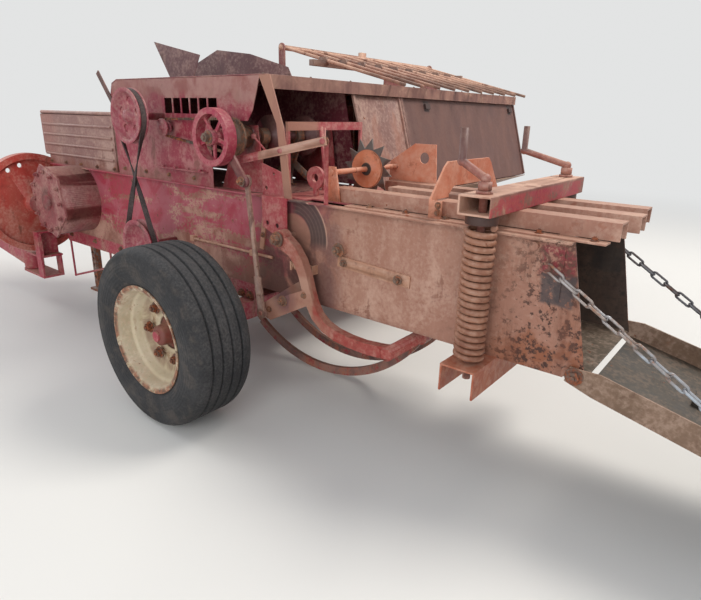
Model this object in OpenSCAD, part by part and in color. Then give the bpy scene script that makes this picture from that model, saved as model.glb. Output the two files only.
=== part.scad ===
// Square baler for hay and straw, side-fed, with twine knotters.
// Millimetres. +X to the front, +Y to the machine's left, +Z up, ground at Z = 0.
// Inside each piece X is counted from the axle line and Y from the chamber's middle.

/* [Bale chamber] */
// Outer width of the bale chamber
chamber_w = 500; // [480:1:520]
// Height of the chamber floor's underside above the ground
chamber_z = 455; // [445:1:470]
// Height of the bale chamber
chamber_h = 385; // [370:1:400]
// Front end of the chamber, ahead of the axle
chamber_front = 1700; // [1680:5:1720]
// Rear end of the chamber, behind the axle, at mid height
chamber_rear = 1360; // [1330:5:1390]
// Slant of the chamber's rear end in degrees
end_lean = 12; // [8:1:14]
// Thickness of the chamber walls
wall_t = 5; // [4:0.5:6]
// Width of the flange along a wall's edge
flange_w = 28; // [24:1:32]

/* [Wheels and axle] */
// Outer diameter of the left tyre
tyre_od = 686; // [660:2:700]
// Width of the left tyre
tyre_w = 246; // [230:2:254]
// Middle of the left wheel, from the chamber's middle
wheel_y = 640; // [630:1:655]
// Bead seat diameter of both rims
seat_d = 381; // [375:1:385]
// Outer diameter of the right tyre
right_od = 630; // [600:2:650]
// Width of the right tyre
right_w = 160; // [150:2:170]
// Middle of the right wheel, from the chamber's middle
right_y = 1850; // [1840:5:1860]
// Diameter of the wheel spindles
spindle_d = 40; // [36:0.5:44]
// Radial running clearance of the bearings
run_clear = 0.05; // [0.02:0.01:0.1]

/* [Flywheel and gearbox] */
// Radius of the flywheel
fly_r = 285; // [270:1:295]
// Width of the flywheel's rim
fly_w = 62; // [54:1:70]
// Middle of the flywheel's rim, ahead of the axle
fly_x = 1768; // [1764:1:1775]
// Flywheel axis, from the chamber's middle
fly_y = 365; // [362:1:370]
// Flywheel axis above the ground
fly_z = 610; // [600:1:620]
// Outer radius of the crank drum on the left wall
drum_r = 192; // [185:1:196]
// Middle of the crank drum, ahead of the axle
drum_x = 1365; // [1355:1:1380]
// How far the crank drum stands out of the wall
drum_out = 200; // [180:1:210]

/* [Feeder housing] */
// Top of the feeder housing above the ground
house_z = 1280; // [1265:1:1295]
// Lower edge of the housing's rear panels
skirt_z = 790; // [780:1:800]
// Front of the housing, ahead of the axle
house_front = 920; // [915:1:930]
// Rear top edge of the housing, behind the axle
house_back = 142; // [138:1:150]
// Forward lean of the rear panels in degrees
house_lean = 17; // [14:1:18]
// Right end of the housing, from the chamber's middle
house_right = 1980; // [1970:5:2000]
// Sheet thickness of the housing
sheet_t = 3; // [2.5:0.5:4]

/* [Twine box] */
// Length of the twine box
twine_l = 800; // [780:5:810]
// Height of the twine box
twine_h = 272; // [260:1:280]
// Number of pressed ribs on its side
twine_ribs = 4; // [3:1:5]

/* [Knotters and needles] */
// Knotter shaft above the ground
knot_z = 1054; // [1050:1:1060]
// Needle yoke pivot, behind the axle
yoke_x = 280; // [277:1:284]
// Needle yoke pivot above the ground
yoke_z = 700; // [697:1:704]
// Radius of the needles' arc about the yoke pivot
needle_r = 600; // [595:1:605]
// Sideways distance between the two needles
needle_gap = 200; // [190:1:210]
// Thickness of a needle across its arc
needle_t = 34; // [30:1:36]
// Radius of the lift crank on the knotter shaft
crank_r = 198; // [196:1:200]
// Teeth of the star wheel
star_teeth = 12; // [10:1:14]
// Middle of the star wheel, behind the axle
star_x = 434; // [430:1:440]
// Radius of the star wheel to its points
star_r = 116; // [108:1:118]

/* [Bale tension] */
// Middle of the tension beams, behind the axle
beam_x = 1085; // [1075:1:1095]
// Half length of the upper tension beam
beam_half = 385; // [375:1:395]
// Outer diameter of the tension springs
spring_d = 94; // [88:1:98]
// Coils of one tension spring
spring_coils = 23; // [20:1:25]

/* [Bale chute] */
// Length of the bale chute
chute_l = 760; // [700:5:800]
// Downward slope of the chute in degrees
chute_slope = 13.5; // [10:0.5:16]
// Width of the chute floor
chute_w = 520; // [512:1:530]
// Links of one chute chain
chain_links = 15; // [13:2:17]

/* [Wind guard] */
// Rods of the wind guard
guard_rods = 10; // [9:1:11]
// Height of the wind guard's bar above the ground
guard_z = 1470; // [1455:1:1480]
// Diameter of a wind guard rod
guard_rod_d = 16; // [14:0.5:17]

/* [Pickup] */
// Left end of the pickup, from the chamber's middle
pick_y0 = 380; // [375:1:390]
// Length of the pickup reel
pick_l = 1340; // [1320:5:1350]
// Pickup reel axis, ahead of the axle
pick_x = 960; // [955:1:965]
// Pickup reel axis above the ground
pick_z = 372; // [365:1:380]
// Radius of the stripper bands
band_r = 162; // [158:1:165]
// Number of tine bars on the reel
tine_bars = 4; // [3:1:5]
// Tines on one bar
tines = 18; // [16:1:19]

/* [Tongue and drive shaft] */
// Tongue pivot, ahead of the axle
tongue_x = 1905; // [1900:1:1915]
// Length from the tongue pivot to the hitch pin
tongue_l = 1330; // [1300:5:1400]
// Height of the hitch pin's eye above the ground
hitch_z = 400; // [395:1:410]
// Bore for the hitch pin
hitch_d = 28; // [26:0.5:32]
// Diameter of the drive shaft's stub
stub_d = 35; // [34.9:0.1:35.1]

/* [Hidden] */
$fn = 48;
cy = chamber_w / 2;
cz = chamber_z + chamber_h;
rear_top = chamber_rear - chamber_h / 2 * tan(end_lean);
rear_low = chamber_rear + chamber_h / 2 * tan(end_lean);
axle_z = tyre_od / 2;
right_z = right_od / 2;
drum_z = chamber_z + chamber_h / 2 + 22;
drum_y = cy + drum_out;
panel_y = cy + 20;
twine_x0 = house_front + 55;
knot_x = 0;
wheel_face = cy + 150;
slot_x = -yoke_x + sqrt(pow(needle_r, 2) - pow(yoke_z - chamber_z, 2));
skirt_x = -house_back - (house_z - skirt_z) * tan(house_lean);
chute_x = -chamber_rear - 15;
chute_z = chamber_z + 14;
star_z = cz + 108;
hitch_x = tongue_x + tongue_l;
pick_y1 = pick_y0 + pick_l;

// The frame's origin: middle of the plan of the whole machine, on the ground.
front_end = hitch_x + 46;
rear_end = chute_x - chute_l * cos(chute_slope) - 40 * sin(chute_slope);
left_end = wheel_y + tyre_w / 2;
right_end = -house_right;
ox = (front_end + rear_end) / 2;
oy = (left_end + right_end) / 2;

tan_paint = [0.72, 0.50, 0.39];
red_paint = [0.66, 0.16, 0.17];
orange_paint = [0.80, 0.42, 0.22];
cream_paint = [0.82, 0.76, 0.62];
steel = [0.42, 0.40, 0.38];
rubber = [0.09, 0.09, 0.09];

module place() translate([-ox, -oy, 0]) children();
// A plate square to Y, its left face at y1; the drawing's axes are X and Z.
module side_plate(y1, t) translate([0, y1, 0]) rotate([90, 0, 0]) linear_extrude(t) children();
// A plate square to X, its rear face at x0; the drawing's axes are Y and Z.
module cross_plate(x0, t) translate([x0, 0, 0]) rotate([90, 0, 90]) linear_extrude(t) children();
module box(x0, x1, y0, y1, z0, z1)
  translate([x0, y0, z0]) cube([x1 - x0, y1 - y0, z1 - z0]);
module rod_y(x, z, y0, y1, d) translate([x, y0, z]) rotate([-90, 0, 0]) cylinder(d = d, h = y1 - y0);
module rod_x(y, z, x0, x1, d) translate([x0, y, z]) rotate([0, 90, 0]) cylinder(d = d, h = x1 - x0);
module rod_z(x, y, z0, z1, d) translate([x, y, z0]) cylinder(d = d, h = z1 - z0);
// A round bar from point a to point b.
module bar(a, b, d) {
  v = b - a;
  l = norm(v);
  translate(a) rotate([0, acos(v[2] / l), atan2(v[1], v[0])]) cylinder(d = d, h = l);
}
// A flat bar from a to b in the X-Z plane, w wide, between y0 and y1.
module flat_bar(a, b, w, y0, y1) {
  l = norm(b - a);
  translate([a[0], y0, a[1]]) rotate([0, -atan2(b[1] - a[1], b[0] - a[0]), 0])
    translate([0, 0, -w / 2]) cube([l, y1 - y0, w]);
}
module eye_bar(a, b, w, y0, y1, d) difference() {
  union() {
    flat_bar(a, b, w, y0, y1);
    rod_y(a[0], a[1], y0, y1, w * 1.25);
    rod_y(b[0], b[1], y0, y1, w * 1.25);
  }
  rod_y(a[0], a[1], y0 - 1, y1 + 1, d);
  rod_y(b[0], b[1], y0 - 1, y1 + 1, d);
}
module ring_y(x, z, y0, y1, ro, ri) translate([x, y0, z]) rotate([-90, 0, 0]) difference() {
  cylinder(r = ro, h = y1 - y0);
  translate([0, 0, -1]) cylinder(r = ri, h = y1 - y0 + 2);
}
module bolt_y(x, z, y0, out, d) rod_y(x, z, min(y0, y0 + out), max(y0, y0 + out), d);

function on_circle(r, a) = [r * cos(a), r * sin(a)];

// Bale chamber

module wall_outline() polygon([[chamber_front, chamber_z], [chamber_front, cz],
  [-rear_top, cz], [-rear_low, chamber_z]]);

module chamber_left_wall() color(tan_paint) place() difference() {
  union() {
    side_plate(cy, wall_t) wall_outline();
    difference() {
      box(-rear_top, chamber_front - 20, cy, cy + flange_w, cz - 5, cz);
      rod_y(drum_x, drum_z, cy - 1, cy + flange_w + 1, 2 * drum_r - 22);
    }
    box(-rear_low + 60, -38, cy - wall_t, cy, chamber_z - 4, chamber_z);
    rod_y(-yoke_x, yoke_z, cy, cy + 88, 32);
    bolt_y(-525, 689, cy, 24, 42);
    // worn plate at the rear end, with its bolt and the chain's bolt
    side_plate(cy + 4, 4) difference() {
      polygon([[-1192, cz - 8], [-1204, 678], [-1300, 672], [-1300, cz - 10]]);
      translate([-1243, 789]) circle(d = 24, $fn = 32);
    }
    bolt_y(-1216, 815, cy, 18, 24);
    chain_bolt(cy);
  }
  rod_y(-yoke_x, yoke_z, cy + 20, cy + 89, 12);
}
chain_top = [-1270, 768];
module chain_bolt(y0) {
  rod_y(chain_top[0], chain_top[1], y0, y0 + 48, 8);
  rod_y(chain_top[0], chain_top[1], y0 + 44, y0 + 50, 20);
}

module chamber_right_wall() color(tan_paint) place() difference() {
  union() {
    side_plate(-cy + wall_t, wall_t) wall_outline();
    box(-rear_top, skirt_x - 90, -cy - flange_w, -cy, cz - 5, cz);
    box(-rear_low + 60, -120, -cy, -cy + wall_t, chamber_z - 4, chamber_z);
    rod_y(-yoke_x, yoke_z, -cy - 88, -cy, 32);
    mirror([0, 1, 0]) chain_bolt(cy);
  }
  box(400, 880, -cy - 1, -cy + wall_t + 1, chamber_z + 45, cz - 45);
  rod_y(-yoke_x, yoke_z, -cy - 89, -cy - 20, 12);
}

module chamber_floor() color(red_paint) place() difference() {
  box(-rear_low + 2, chamber_front - 10, -cy + wall_t, cy - wall_t, chamber_z, chamber_z + 5);
  for (s = [-1, 1]) box(slot_x - 62, slot_x + 62, s * needle_gap / 2 - 16,
    s * needle_gap / 2 + 16, chamber_z - 1, chamber_z + 6);
}

module chamber_top() color(red_paint) place() difference() {
  box(-150, chamber_front - 10, -cy + wall_t, cy - wall_t, cz - 5, cz);
  for (s = [-1, 1]) box(slot_x - 50, slot_x + 75, s * needle_gap / 2 - 16,
    s * needle_gap / 2 + 16, cz - 6, cz + 1);
}

rail_y = [-196, -33, 130];
rail_w = 66;
module top_rails() color(tan_paint) place() {
  // flat strips on the chamber's rim, then three rails on cross bars
  for (s = [-1, 1]) box(-1395, -527, min(s * cy, s * (cy - 46)), max(s * cy, s * (cy - 46)), cz, cz + 5);
  for (x = [-1280, -640]) box(x - 20, x + 20, -cy + 46, cy - 46, cz - 3, cz + 5);
  for (y = rail_y) difference() {
    x1 = abs(y) < 50 ? -560 : -430;
    box(-1430 + abs(y) * 0.12, x1, y, y + rail_w, cz + 5, cz + 54);
    box(-1431, x1 + 1, y + 6, y + rail_w - 6, cz + 4, cz + 48);
  }
}

// Knotters, needles and their drive

module knotter_frame() color(red_paint) place() {
  // gussets on the left wall
  side_plate(cy, 4) difference() {
    polygon([[-110, cz], [-110, cz + 122], [-238, cz + 88], [-238, cz]]);
    translate([-132, cz + 28]) circle(d = 16, $fn = 24);
    translate([-175, cz + 84]) circle(d = 12, $fn = 24);
  }
  side_plate(cy + flange_w + 4, 4) difference() {
    polygon([[-140, cz], [-275, cz], [-275, cz - 112], [-256, cz - 130], [-208, cz - 142],
      [-140, cz - 118]]);
    for (p = [[-168, cz - 100], [-222, cz - 105]]) translate(p) circle(d = 18, $fn = 24);
  }
  box(-275, -140, cy, cy + flange_w + 4, cz, cz + 4);
  // side frames of the knotter shaft
  for (y = [-222, 216]) side_plate(y + 6, 6) difference() {
    polygon([[-95, cz], [170, cz], [60, knot_z + 44], [-60, knot_z + 44]]);
    translate([knot_x, knot_z]) circle(d = 36, $fn = 48);
  }
  for (y = [-222, 216]) difference() {
    rod_y(knot_x, knot_z, y - 6, y + 12, 60);
    rod_y(knot_x, knot_z, y - 7, y + 13, 32 + 2 * run_clear);
  }
  // lever bar, cross bar and posts
  flat_bar([-20, knot_z - 86], [-466, knot_z + 6], 30, panel_y + 6, panel_y + 14);
  rod_y(-20, knot_z - 86, 220, panel_y + 20, 22);
  bolt_y(-250, knot_z - 39, panel_y + 5, 16, 18);
  rod_y(-456, knot_z + 4, cy + 12, panel_y + 20, 20);
  box(-464, -448, cy + 12, cy + 18, cz, knot_z + 4);
  // ball lever
  bar([-119, 240, 1011], [-58, 240, 1056], 8);
  translate([-57, 240, 1057]) sphere(d = 24);
  bar([-119, 240, 1011], [-60, 218, 985], 8);
  box(-216, -204, -cy + 6, 210, knot_z + 30, knot_z + 62);
  for (y = [-cy + 6, 198]) box(-216, -204, y, y + 12, cz, knot_z + 30);
  rod_z(-210, 0, cz + 2, knot_z + 40, 16);
  bar([-320, 100, cz + 2], [-212, 20, knot_z + 40], 18);
  ring_y(-303, cz + 74, 142, 156, 42, 16);
  box(-312, -294, 142, 156, cz, cz + 34);
  box(-345, -190, -cy, cy - 5, cz, cz + 5);
  // plate under the star wheel, slotted for its teeth
  difference() {
    box(-515, -345, -212, 212, cz, cz + 5);
    box(-star_x - 64, -star_x + 64, -14, 14, cz - 1, cz + 6);
  }
}

module star_posts() color(orange_paint) place() {
  side_plate(206, 6) polygon([[-398, cz + 5], [-472, cz + 5], [-448, star_z + 20],
    [-404, star_z + 20]]);
  side_plate(-200, 6) difference() {
    polygon([[-398, cz + 5], [-630, cz + 5], [-616, star_z + 94], [-520, star_z + 94],
      [-404, star_z + 20]]);
    translate([-566, star_z + 40]) circle(d = 44, $fn = 32);
  }
  rod_y(-star_x, star_z, -214, 216, 20);
}

module knotter_heads() color(steel) place() for (s = [-1, 1]) {
  y = s * needle_gap / 2 + 34;
  difference() {
    union() {
      ring_y(knot_x, knot_z, y - 8, y + 30, 34, 16.5);
      flat_bar([knot_x, knot_z - 20], [58, cz + 64], 40, y - 8, y + 6);
      bar([58, y - 2, cz + 60], [118, y - 2, cz + 76], 20);
      bar([118, y - 2, cz + 76], [142, y - 30, cz + 82], 10);
      flat_bar([30, cz + 96], [-58, cz + 40], 30, y - 8, y + 2);
    }
    rod_y(knot_x, knot_z, y - 40, y + 40, 33);
  }
  // twine disc and its cage
  rod_z(96, y + 22, cz + 40, cz + 52, 62);
  rod_z(96, y + 22, cz + 56, cz + 62, 62);
  rod_z(96, y + 22, cz + 36, cz + 70, 14);
  flat_bar([58, cz + 66], [110, cz + 70], 10, y - 2, y + 26);
  // foot on the chamber's top
  box(20, 96, y - 8, y + 6, cz, cz + 6);
  flat_bar([52, cz + 3], [58, cz + 60], 22, y - 8, y + 6);
}

module knotter_wheel() color(red_paint) place() {
  difference() {
    union() {
      // knotter shaft through both side frames
      rod_y(knot_x, knot_z, -240, wheel_face, 32);
      // big spoked wheel
      ring_y(knot_x, knot_z, wheel_face - 36, wheel_face + 6, 106, 84);
      rod_y(knot_x, knot_z, wheel_face - 38, wheel_face + 12, 56);
      difference() {
        rod_y(knot_x, knot_z, wheel_face - 20, wheel_face - 12, 172);
        for (i = [0:4]) rotate_about(knot_x, knot_z, i * 72 + 18)
          translate([56, 0, 0]) rod_y(0, 0, wheel_face - 30, wheel_face, 44);
      }
      // cam gears of the two knotters
      for (s = [-1, 1]) rod_y(knot_x, knot_z, s * needle_gap / 2 - 16, s * needle_gap / 2 + 4, 168);
      // lift crank
      crank_arm();
    }
    rod_y(knot_x, knot_z, -241, -200, 10);
  }
}
crank_a = 231;
module rotate_about(x, z, a) translate([x, 0, z]) rotate([0, -a, 0]) children();
crank_pin = [knot_x + crank_r * cos(crank_a), knot_z + crank_r * sin(crank_a)];
module crank_arm() {
  y0 = cy + 98;
  flat_bar([knot_x, knot_z], crank_pin, 36, y0 + 1, y0 + 11);
  rod_y(knot_x, knot_z, y0 - 6, y0 + 12, 62);
  rod_y(crank_pin[0], crank_pin[1], y0, y0 + 12, 46);
  rod_y(crank_pin[0], crank_pin[1], y0, y0 + 20, 18);
}

yoke_eye_r = 329;
yoke_eye_a = 287;
yoke_eye = [-yoke_x + yoke_eye_r * cos(yoke_eye_a), yoke_z + yoke_eye_r * sin(yoke_eye_a)];

module lift_link() color(tan_paint) place() difference() {
  y0 = cy + 85;
  low = yoke_eye + 0.28 * (crank_pin - yoke_eye);
  union() {
    flat_bar(crank_pin, low, 22, y0 + 1, y0 + 10);
    flat_bar(low - 0.03 * (yoke_eye - low), yoke_eye, 34, y0, y0 + 11);
    rod_y(crank_pin[0], crank_pin[1], y0 - 0.5, y0 + 11.5, 46);
    rod_y(yoke_eye[0], yoke_eye[1], y0 - 0.5, y0 + 11.5, 46);
    // its upper pin ends just short of the crank's boss
    rod_y(crank_pin[0], crank_pin[1], y0 - 2, cy + 97.7, 18);
  }
  rod_y(yoke_eye[0], yoke_eye[1], y0 - 2, y0 + 13, 18 + 2 * run_clear);
}

// Angles of the needles about the yoke pivot, measured from straight ahead.
needle_root = 212;
needle_tip = 323;
module arc_y(r, t, y0, y1, a0, a1) translate([-yoke_x, y0, yoke_z]) rotate([-90, 0, 0])
  rotate([0, 0, -a1]) rotate_extrude(angle = a1 - a0, $fn = 96)
    translate([r - t / 2, 0]) square([t, y1 - y0]);
// The yoke arm's middle line and its half width, from the pivot: x, z, half width
yoke_line = [[-22, -14, 30], [-62, -36, 25], [-96, -74, 22], [-118, -122, 21], [-134, -172, 20],
  [-152, -222, 20], [-180, -266, 20], [-222, -298, 20], [-276, -316, 20], [-336, -324, 20],
  [-400, -326, 20], [-462, -322, 21], [-512, -316, 22]];
root_p = [needle_r * cos(needle_root), needle_r * sin(needle_root)];

module needle_yoke() color(red_paint) place() {
  for (s = [-1, 1]) {
    // pivot boss
    y0 = s > 0 ? cy + 41 : -cy - 81;
    difference() {
      union() {
        rod_y(-yoke_x, yoke_z, y0, y0 + 40, 66);
        yoke_arm(y0 + 20);
        if (s > 0) side_plate(y0 + 27, 10) yoke_plate();
      }
      rod_y(-yoke_x, yoke_z, y0 - 1, y0 + 41, 32 + 2 * run_clear);
    }
  }
  rod_y(yoke_eye[0], yoke_eye[1], cy + 50, cy + 100, 18);
  // cross bar and the two needles
  rod_y(-yoke_x + root_p[0], yoke_z + root_p[1], -cy - 84, cy + 84, 48);
  for (s = [-1, 1]) {
    y = s * needle_gap / 2;
    arc_y(needle_r, needle_t, y - 8, y + 8, needle_root - 1, needle_tip - 16);
    arc_y(needle_r - 4, needle_t - 10, y - 7, y + 7, needle_tip - 17, needle_tip - 5);
    arc_y(needle_r - 8, needle_t - 18, y - 6, y + 6, needle_tip - 6, needle_tip);
    rod_y(-yoke_x + root_p[0], yoke_z + root_p[1], y - 22, y + 22, 62);
  }
}
module yoke_plate() translate([-yoke_x, yoke_z]) polygon([[-160, -222], [-106, -140],
  [112, -282], [96, -341], [70, -345]]);
module yoke_arm(y) side_plate(y + 17, 34) translate([-yoke_x, yoke_z]) polygon(concat(
  [for (i = [0:12]) yoke_edge(i, 1)], [for (i = [12:-1:0]) yoke_edge(i, -1)]));
function yoke_edge(i, side) = let (p = yoke_line[i], a = yoke_line[max(0, i - 1)],
  b = yoke_line[min(12, i + 1)], d = [b[0] - a[0], b[1] - a[1]], n = [-d[1], d[0]] / norm(d))
  [p[0], p[1]] + side * p[2] * n;

module star_wheel() color(orange_paint) place() translate([-star_x, 0, star_z]) difference() {
  union() {
    rotate([-90, 0, 0]) translate([0, 0, 2]) cylinder(r = 70, h = 5);
    rotate([-90, 0, 0]) translate([0, 0, -10]) cylinder(r = 22, h = 20);
    rotate([90, 0, 0]) linear_extrude(5) polygon([for (i = [0:star_teeth - 1])
      for (k = [0, 1]) k == 0 ? on_circle(star_r, i * 360 / star_teeth + 10)
        : on_circle(star_r - 40, i * 360 / star_teeth + 19)]);
    rotate([-90, 0, 0]) cylinder(r = 30, h = 3);
  }
  rotate([-90, 0, 0]) translate([0, 0, -20]) cylinder(d = 20 + 2 * run_clear, h = 40);
}

module needle_latch() color(tan_paint) place() {
  // long rod with its spring, the flat strap and the guide plates
  rod_x(cy + 12, 596, -170, 364, 12);
  box(340, 364, cy, cy + 20, 584, 608);
  box(-60, -40, cy, cy + 20, 584, 608);
  flat_bar([-506, 643], [-817, 624], 42, cy, cy + 6);
  bolt_y(-776, 627, cy + 6, 10, 26);
  bolt_y(-540, 641, cy + 6, 10, 22);
  flat_bar([-135, 826], [-100, 620], 22, cy, cy + 6);
  rod_x(cy + 17, 588, -400, -290, 14);
  translate([-397, cy + 17, 588]) rotate([0, 90, 0]) rotate_extrude($fn = 24) {
    for (i = [0:6]) translate([11.5, 6 + i * 13]) circle(d = 9, $fn = 16);
    translate([5, 4]) square([6, 82]);
  }
  box(-404, -396, cy, cy + 30, 572, 606);
  box(-294, -286, cy, cy + 30, 572, 606);
}

// Rear tension gear

module arch_bracket() color(orange_paint) place() {
  x = -868;
  difference() {
    cross_plate(x, 7) difference() {
      polygon([[-cy + 8, cz + 5], [-cy + 8, cz + 62], [-166, cz + 156], [-146, cz + 172],
        [146, cz + 172], [166, cz + 156], [cy - 8, cz + 62], [cy - 8, cz + 5]]);
      polygon([[-130, cz + 4], [-130, cz + 66], [-100, cz + 92], [100, cz + 92],
        [130, cz + 66], [130, cz + 4]]);
    }
    for (y = rail_y) box(x - 1, x + 8, y - 4, y + rail_w + 4, cz + 4, cz + 58);
  }
  for (s = [-1, 1]) box(x - 38, x + 1, min(s * (cy - 14), s * (cy - 8)),
    max(s * (cy - 14), s * (cy - 8)), cz + 5, cz + 60);
}

module tension_beams() color(tan_paint) place() {
  // upper box beam, open ends
  difference() {
    box(-beam_x - 50, -beam_x + 50, -beam_half, beam_half, cz + 54, cz + 110);
    box(-beam_x - 44, -beam_x + 44, -beam_half - 1, beam_half + 1, cz + 60, cz + 104);
    for (s = [-1, 1]) rod_z(-beam_x, s * 330, cz + 50, cz + 115, 28);
  }
  // lower channel, open downward
  difference() {
    box(-beam_x - 56, -beam_x + 56, -beam_half - 15, beam_half + 15, chamber_z - 92, chamber_z - 4);
    box(-beam_x - 50, -beam_x + 50, -beam_half - 16, beam_half + 16, chamber_z - 93, chamber_z - 10);
    for (s = [-1, 1]) rod_z(-beam_x, s * 330, chamber_z - 20, chamber_z + 1, 28);
  }
}

module tension_springs() color(tan_paint) place() for (s = [-1, 1]) {
  z0 = chamber_z - 3.5;
  h = cz + 54 - z0 - 24.5;
  pitch = h / spring_coils;
  wire = pitch * 1.04;
  translate([-beam_x, s * 330, z0]) difference() {
    union() {
      rotate_extrude($fn = 48) union() {
        for (i = [0:spring_coils - 1]) translate([spring_d / 2 - wire / 2, (i + 0.5) * pitch])
          circle(d = wire, $fn = 20);
        translate([spring_d / 2 - wire * 0.8, pitch / 2]) square([wire * 0.6, h - pitch]);
      }
      translate([0, 0, h - 3]) cylinder(d = spring_d, h = 27);
    }
    translate([0, 0, -1]) cylinder(d = 30, h = h + 40);
  }
}

module tension_cranks() color(tan_paint) place() for (s = [-1, 1]) {
  lean = s > 0 ? 75 : 165;
  translate([-beam_x, s * 330, 0]) {
    rod_z(0, 0, chamber_z - 60, cz + 150, 24);
    rod_z(0, 0, cz + 110, cz + 118, 46);
    rod_z(0, 0, cz + 120, cz + 142, 38);
    rod_z(0, 0, chamber_z - 34, chamber_z - 10, 42);
    bar([0, 0, cz + 150], [lean, 0, cz + 192], 22);
    translate([0, 0, cz + 150]) sphere(d = 28);
    translate([lean, 0, cz + 192]) sphere(d = 27);
    bar([lean, 0, cz + 192], [lean, 0, cz + 280], 22);
  }
}

// Bale chute and its chains

module chute() color(tan_paint) place() translate([chute_x, 0, chute_z]) rotate([0, -chute_slope, 0])
  difference() {
    union() {
      box(-chute_l, -40, -chute_w / 2, chute_w / 2, -24, -20);
      for (s = [-1, 1]) {
        y0 = s > 0 ? cy + 6 : -cy - 12;
        side_plate(y0 + 6, 6) polygon([[20, -26], [20, 22], [-8, 26], [-60, 40],
          [-chute_l, 40], [-chute_l, -34], [-60, -34]]);
        for (x = [-620, -420, -220]) box(x - 12, x + 12, min(s * (cy - 2), s * 120),
          max(s * (cy - 2), s * 120), -32, -24);
      }
      box(-chute_l, -chute_l + 20, -chute_w / 2, chute_w / 2, -40, -24);
      box(-chute_l + 1, -280, -40, 40, -20, -4);
      for (s = [-1, 1]) rod_y(-520, 22, min(s * (cy + 8), s * (cy + 52)), max(s * (cy + 8), s * (cy + 52)), 8);
    }
    rod_y(0, 0, -400, 400, 26 + 2 * run_clear);
  }

module chain_link(l, d, w) {
  // one oval link along -X, middle at the origin
  for (s = [-1, 1]) translate([0, s * w, 0]) rotate([0, 90, 0])
    cylinder(d = d, h = l - 2 * w, center = true, $fn = 20);
  for (s = [-1, 1]) translate([s * (l / 2 - w), 0, 0]) rotate([0, 0, s > 0 ? -90 : 90])
    rotate_extrude(angle = 180, $fn = 32) translate([w, 0]) circle(d = d, $fn = 20);
}

chain_low = [chute_x - 520 * cos(chute_slope) - 22 * sin(chute_slope),
  chute_z - 520 * sin(chute_slope) + 22 * cos(chute_slope)];
module chute_chains() color(steel) place() for (s = [-1, 1]) {
  y = s * (cy + 36);
  v = chain_low - chain_top;
  // the end links reach a little past the two pins that they hang on
  past = 4.03;
  pitch = (norm(v) + 2 * past) / chain_links;
  translate([chain_top[0], y, chain_top[1]]) rotate([0, -atan2(-v[1], -v[0]), 0])
    for (i = [0:chain_links - 1]) translate([past - (i + 0.5) * pitch, 0, 0])
      rotate([i % 2 == 0 ? 90 : 0, 0, 0]) chain_link(pitch + 2 * 3.76, 7.5, 9.5);
}

// Frame, axle and stand

arm_z = fly_z - fly_r - 14;
module main_frame() color(red_paint) place() {
  // rails under the chamber, their cross members and the tongue's carrier
  for (s = [-1, 1]) {
    box(60, 1640, min(s * (cy - 60), s * cy), max(s * (cy - 60), s * cy),
      chamber_z - 6, chamber_z);
    box(60, 1640, min(s * cy, s * (cy - 6)), max(s * cy, s * (cy - 6)),
      chamber_z - 70, chamber_z - 6);
  }
  for (x = [560, 1180]) box(x - 30, x + 30, -cy + 6, cy - 6, chamber_z - 40, chamber_z - 6);
  for (s = [-1, 1]) difference() {
    box(-36, 60, min(s * cy, s * (cy - 8)), max(s * cy, s * (cy - 8)), axle_z + 38, chamber_z);
    rod_y(10, axle_z + 75, -cy - 1, cy + 1, 16);
  }
  box(-36, 60, -cy + 8, cy - 8, axle_z + 38, axle_z + 44);
  difference() {
    box(1640, 1700, -cy, fly_y + 60, arm_z - 12, chamber_z);
    box(1639, 1692, -cy - 1, fly_y + 40, arm_z - 2, chamber_z - 8);
    box(1600, 1701, -cy - 1, fly_y - 67, arm_z - 13, arm_z + 97);
  }
  for (z = [arm_z - 12, arm_z - 136]) {
    box(1640, tongue_x, fly_y - 60, fly_y + 60, z, z + 12);
    rod_z(tongue_x, fly_y, z, z + 12, 120);
  }
  box(1640, 1700, fly_y - 60, fly_y - 50, arm_z - 124, arm_z - 12);
  box(1640, 1700, fly_y + 50, fly_y + 60, arm_z - 124, arm_z - 12);
  rod_z(tongue_x, fly_y, arm_z - 144, arm_z + 6, 44);
  // front bulkhead of the chamber
  difference() {
    box(chamber_front - 8, chamber_front, -cy + wall_t, cy - wall_t, chamber_z + 5, cz - 5);
    rod_x(0, chamber_z + chamber_h / 2, chamber_front - 10, chamber_front + 1, 180);
  }
  // light hoop below the frame
  hoop = [[1668, cy - 24, chamber_z - 30], [1668, cy - 24, 152], [1200, cy - 24, 292],
    [1200, cy - 24, chamber_z - 3]];
  for (i = [0:2]) bar(hoop[i], hoop[i + 1], 12);
  for (i = [1:2]) translate(hoop[i]) sphere(d = 15, $fn = 24);
}

module axle() color(red_paint) place() {
  difference() {
    box(-38, 38, -right_y + 112, wheel_y - 150, axle_z - 38, axle_z + 38);
    box(-30, 30, -right_y + 111, wheel_y - 158, axle_z - 30, axle_z + 30);
  }
  rod_y(0, axle_z, wheel_y - 150, wheel_y - 70, 84);
  rod_y(0, axle_z, wheel_y - 70, wheel_y + 66, spindle_d);
  box(-44, 44, -right_y + 98, -right_y + 112, right_z - 50, axle_z + 40);
  rod_y(0, right_z, -right_y + 70, -right_y + 98, 76);
  rod_y(0, right_z, -right_y - 56, -right_y + 70, spindle_d);
}

module parking_stand() color(steel) place() {
  difference() {
    box(chamber_front + 22, chamber_front + 64, 24, 66, 14, 620);
    box(chamber_front + 26, chamber_front + 60, 28, 62, 10, 621);
    for (i = [0:11]) rod_y(chamber_front + 43, 90 + i * 42, 20, 70, 18);
  }
  box(chamber_front - 2, chamber_front + 88, 0, 90, 0, 14);
  difference() {
    box(chamber_front, chamber_front + 68, 18, 72, 470, 600);
    box(chamber_front + 22, chamber_front + 64, 24, 66, 469, 601);
  }
}

// Wheels

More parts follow.
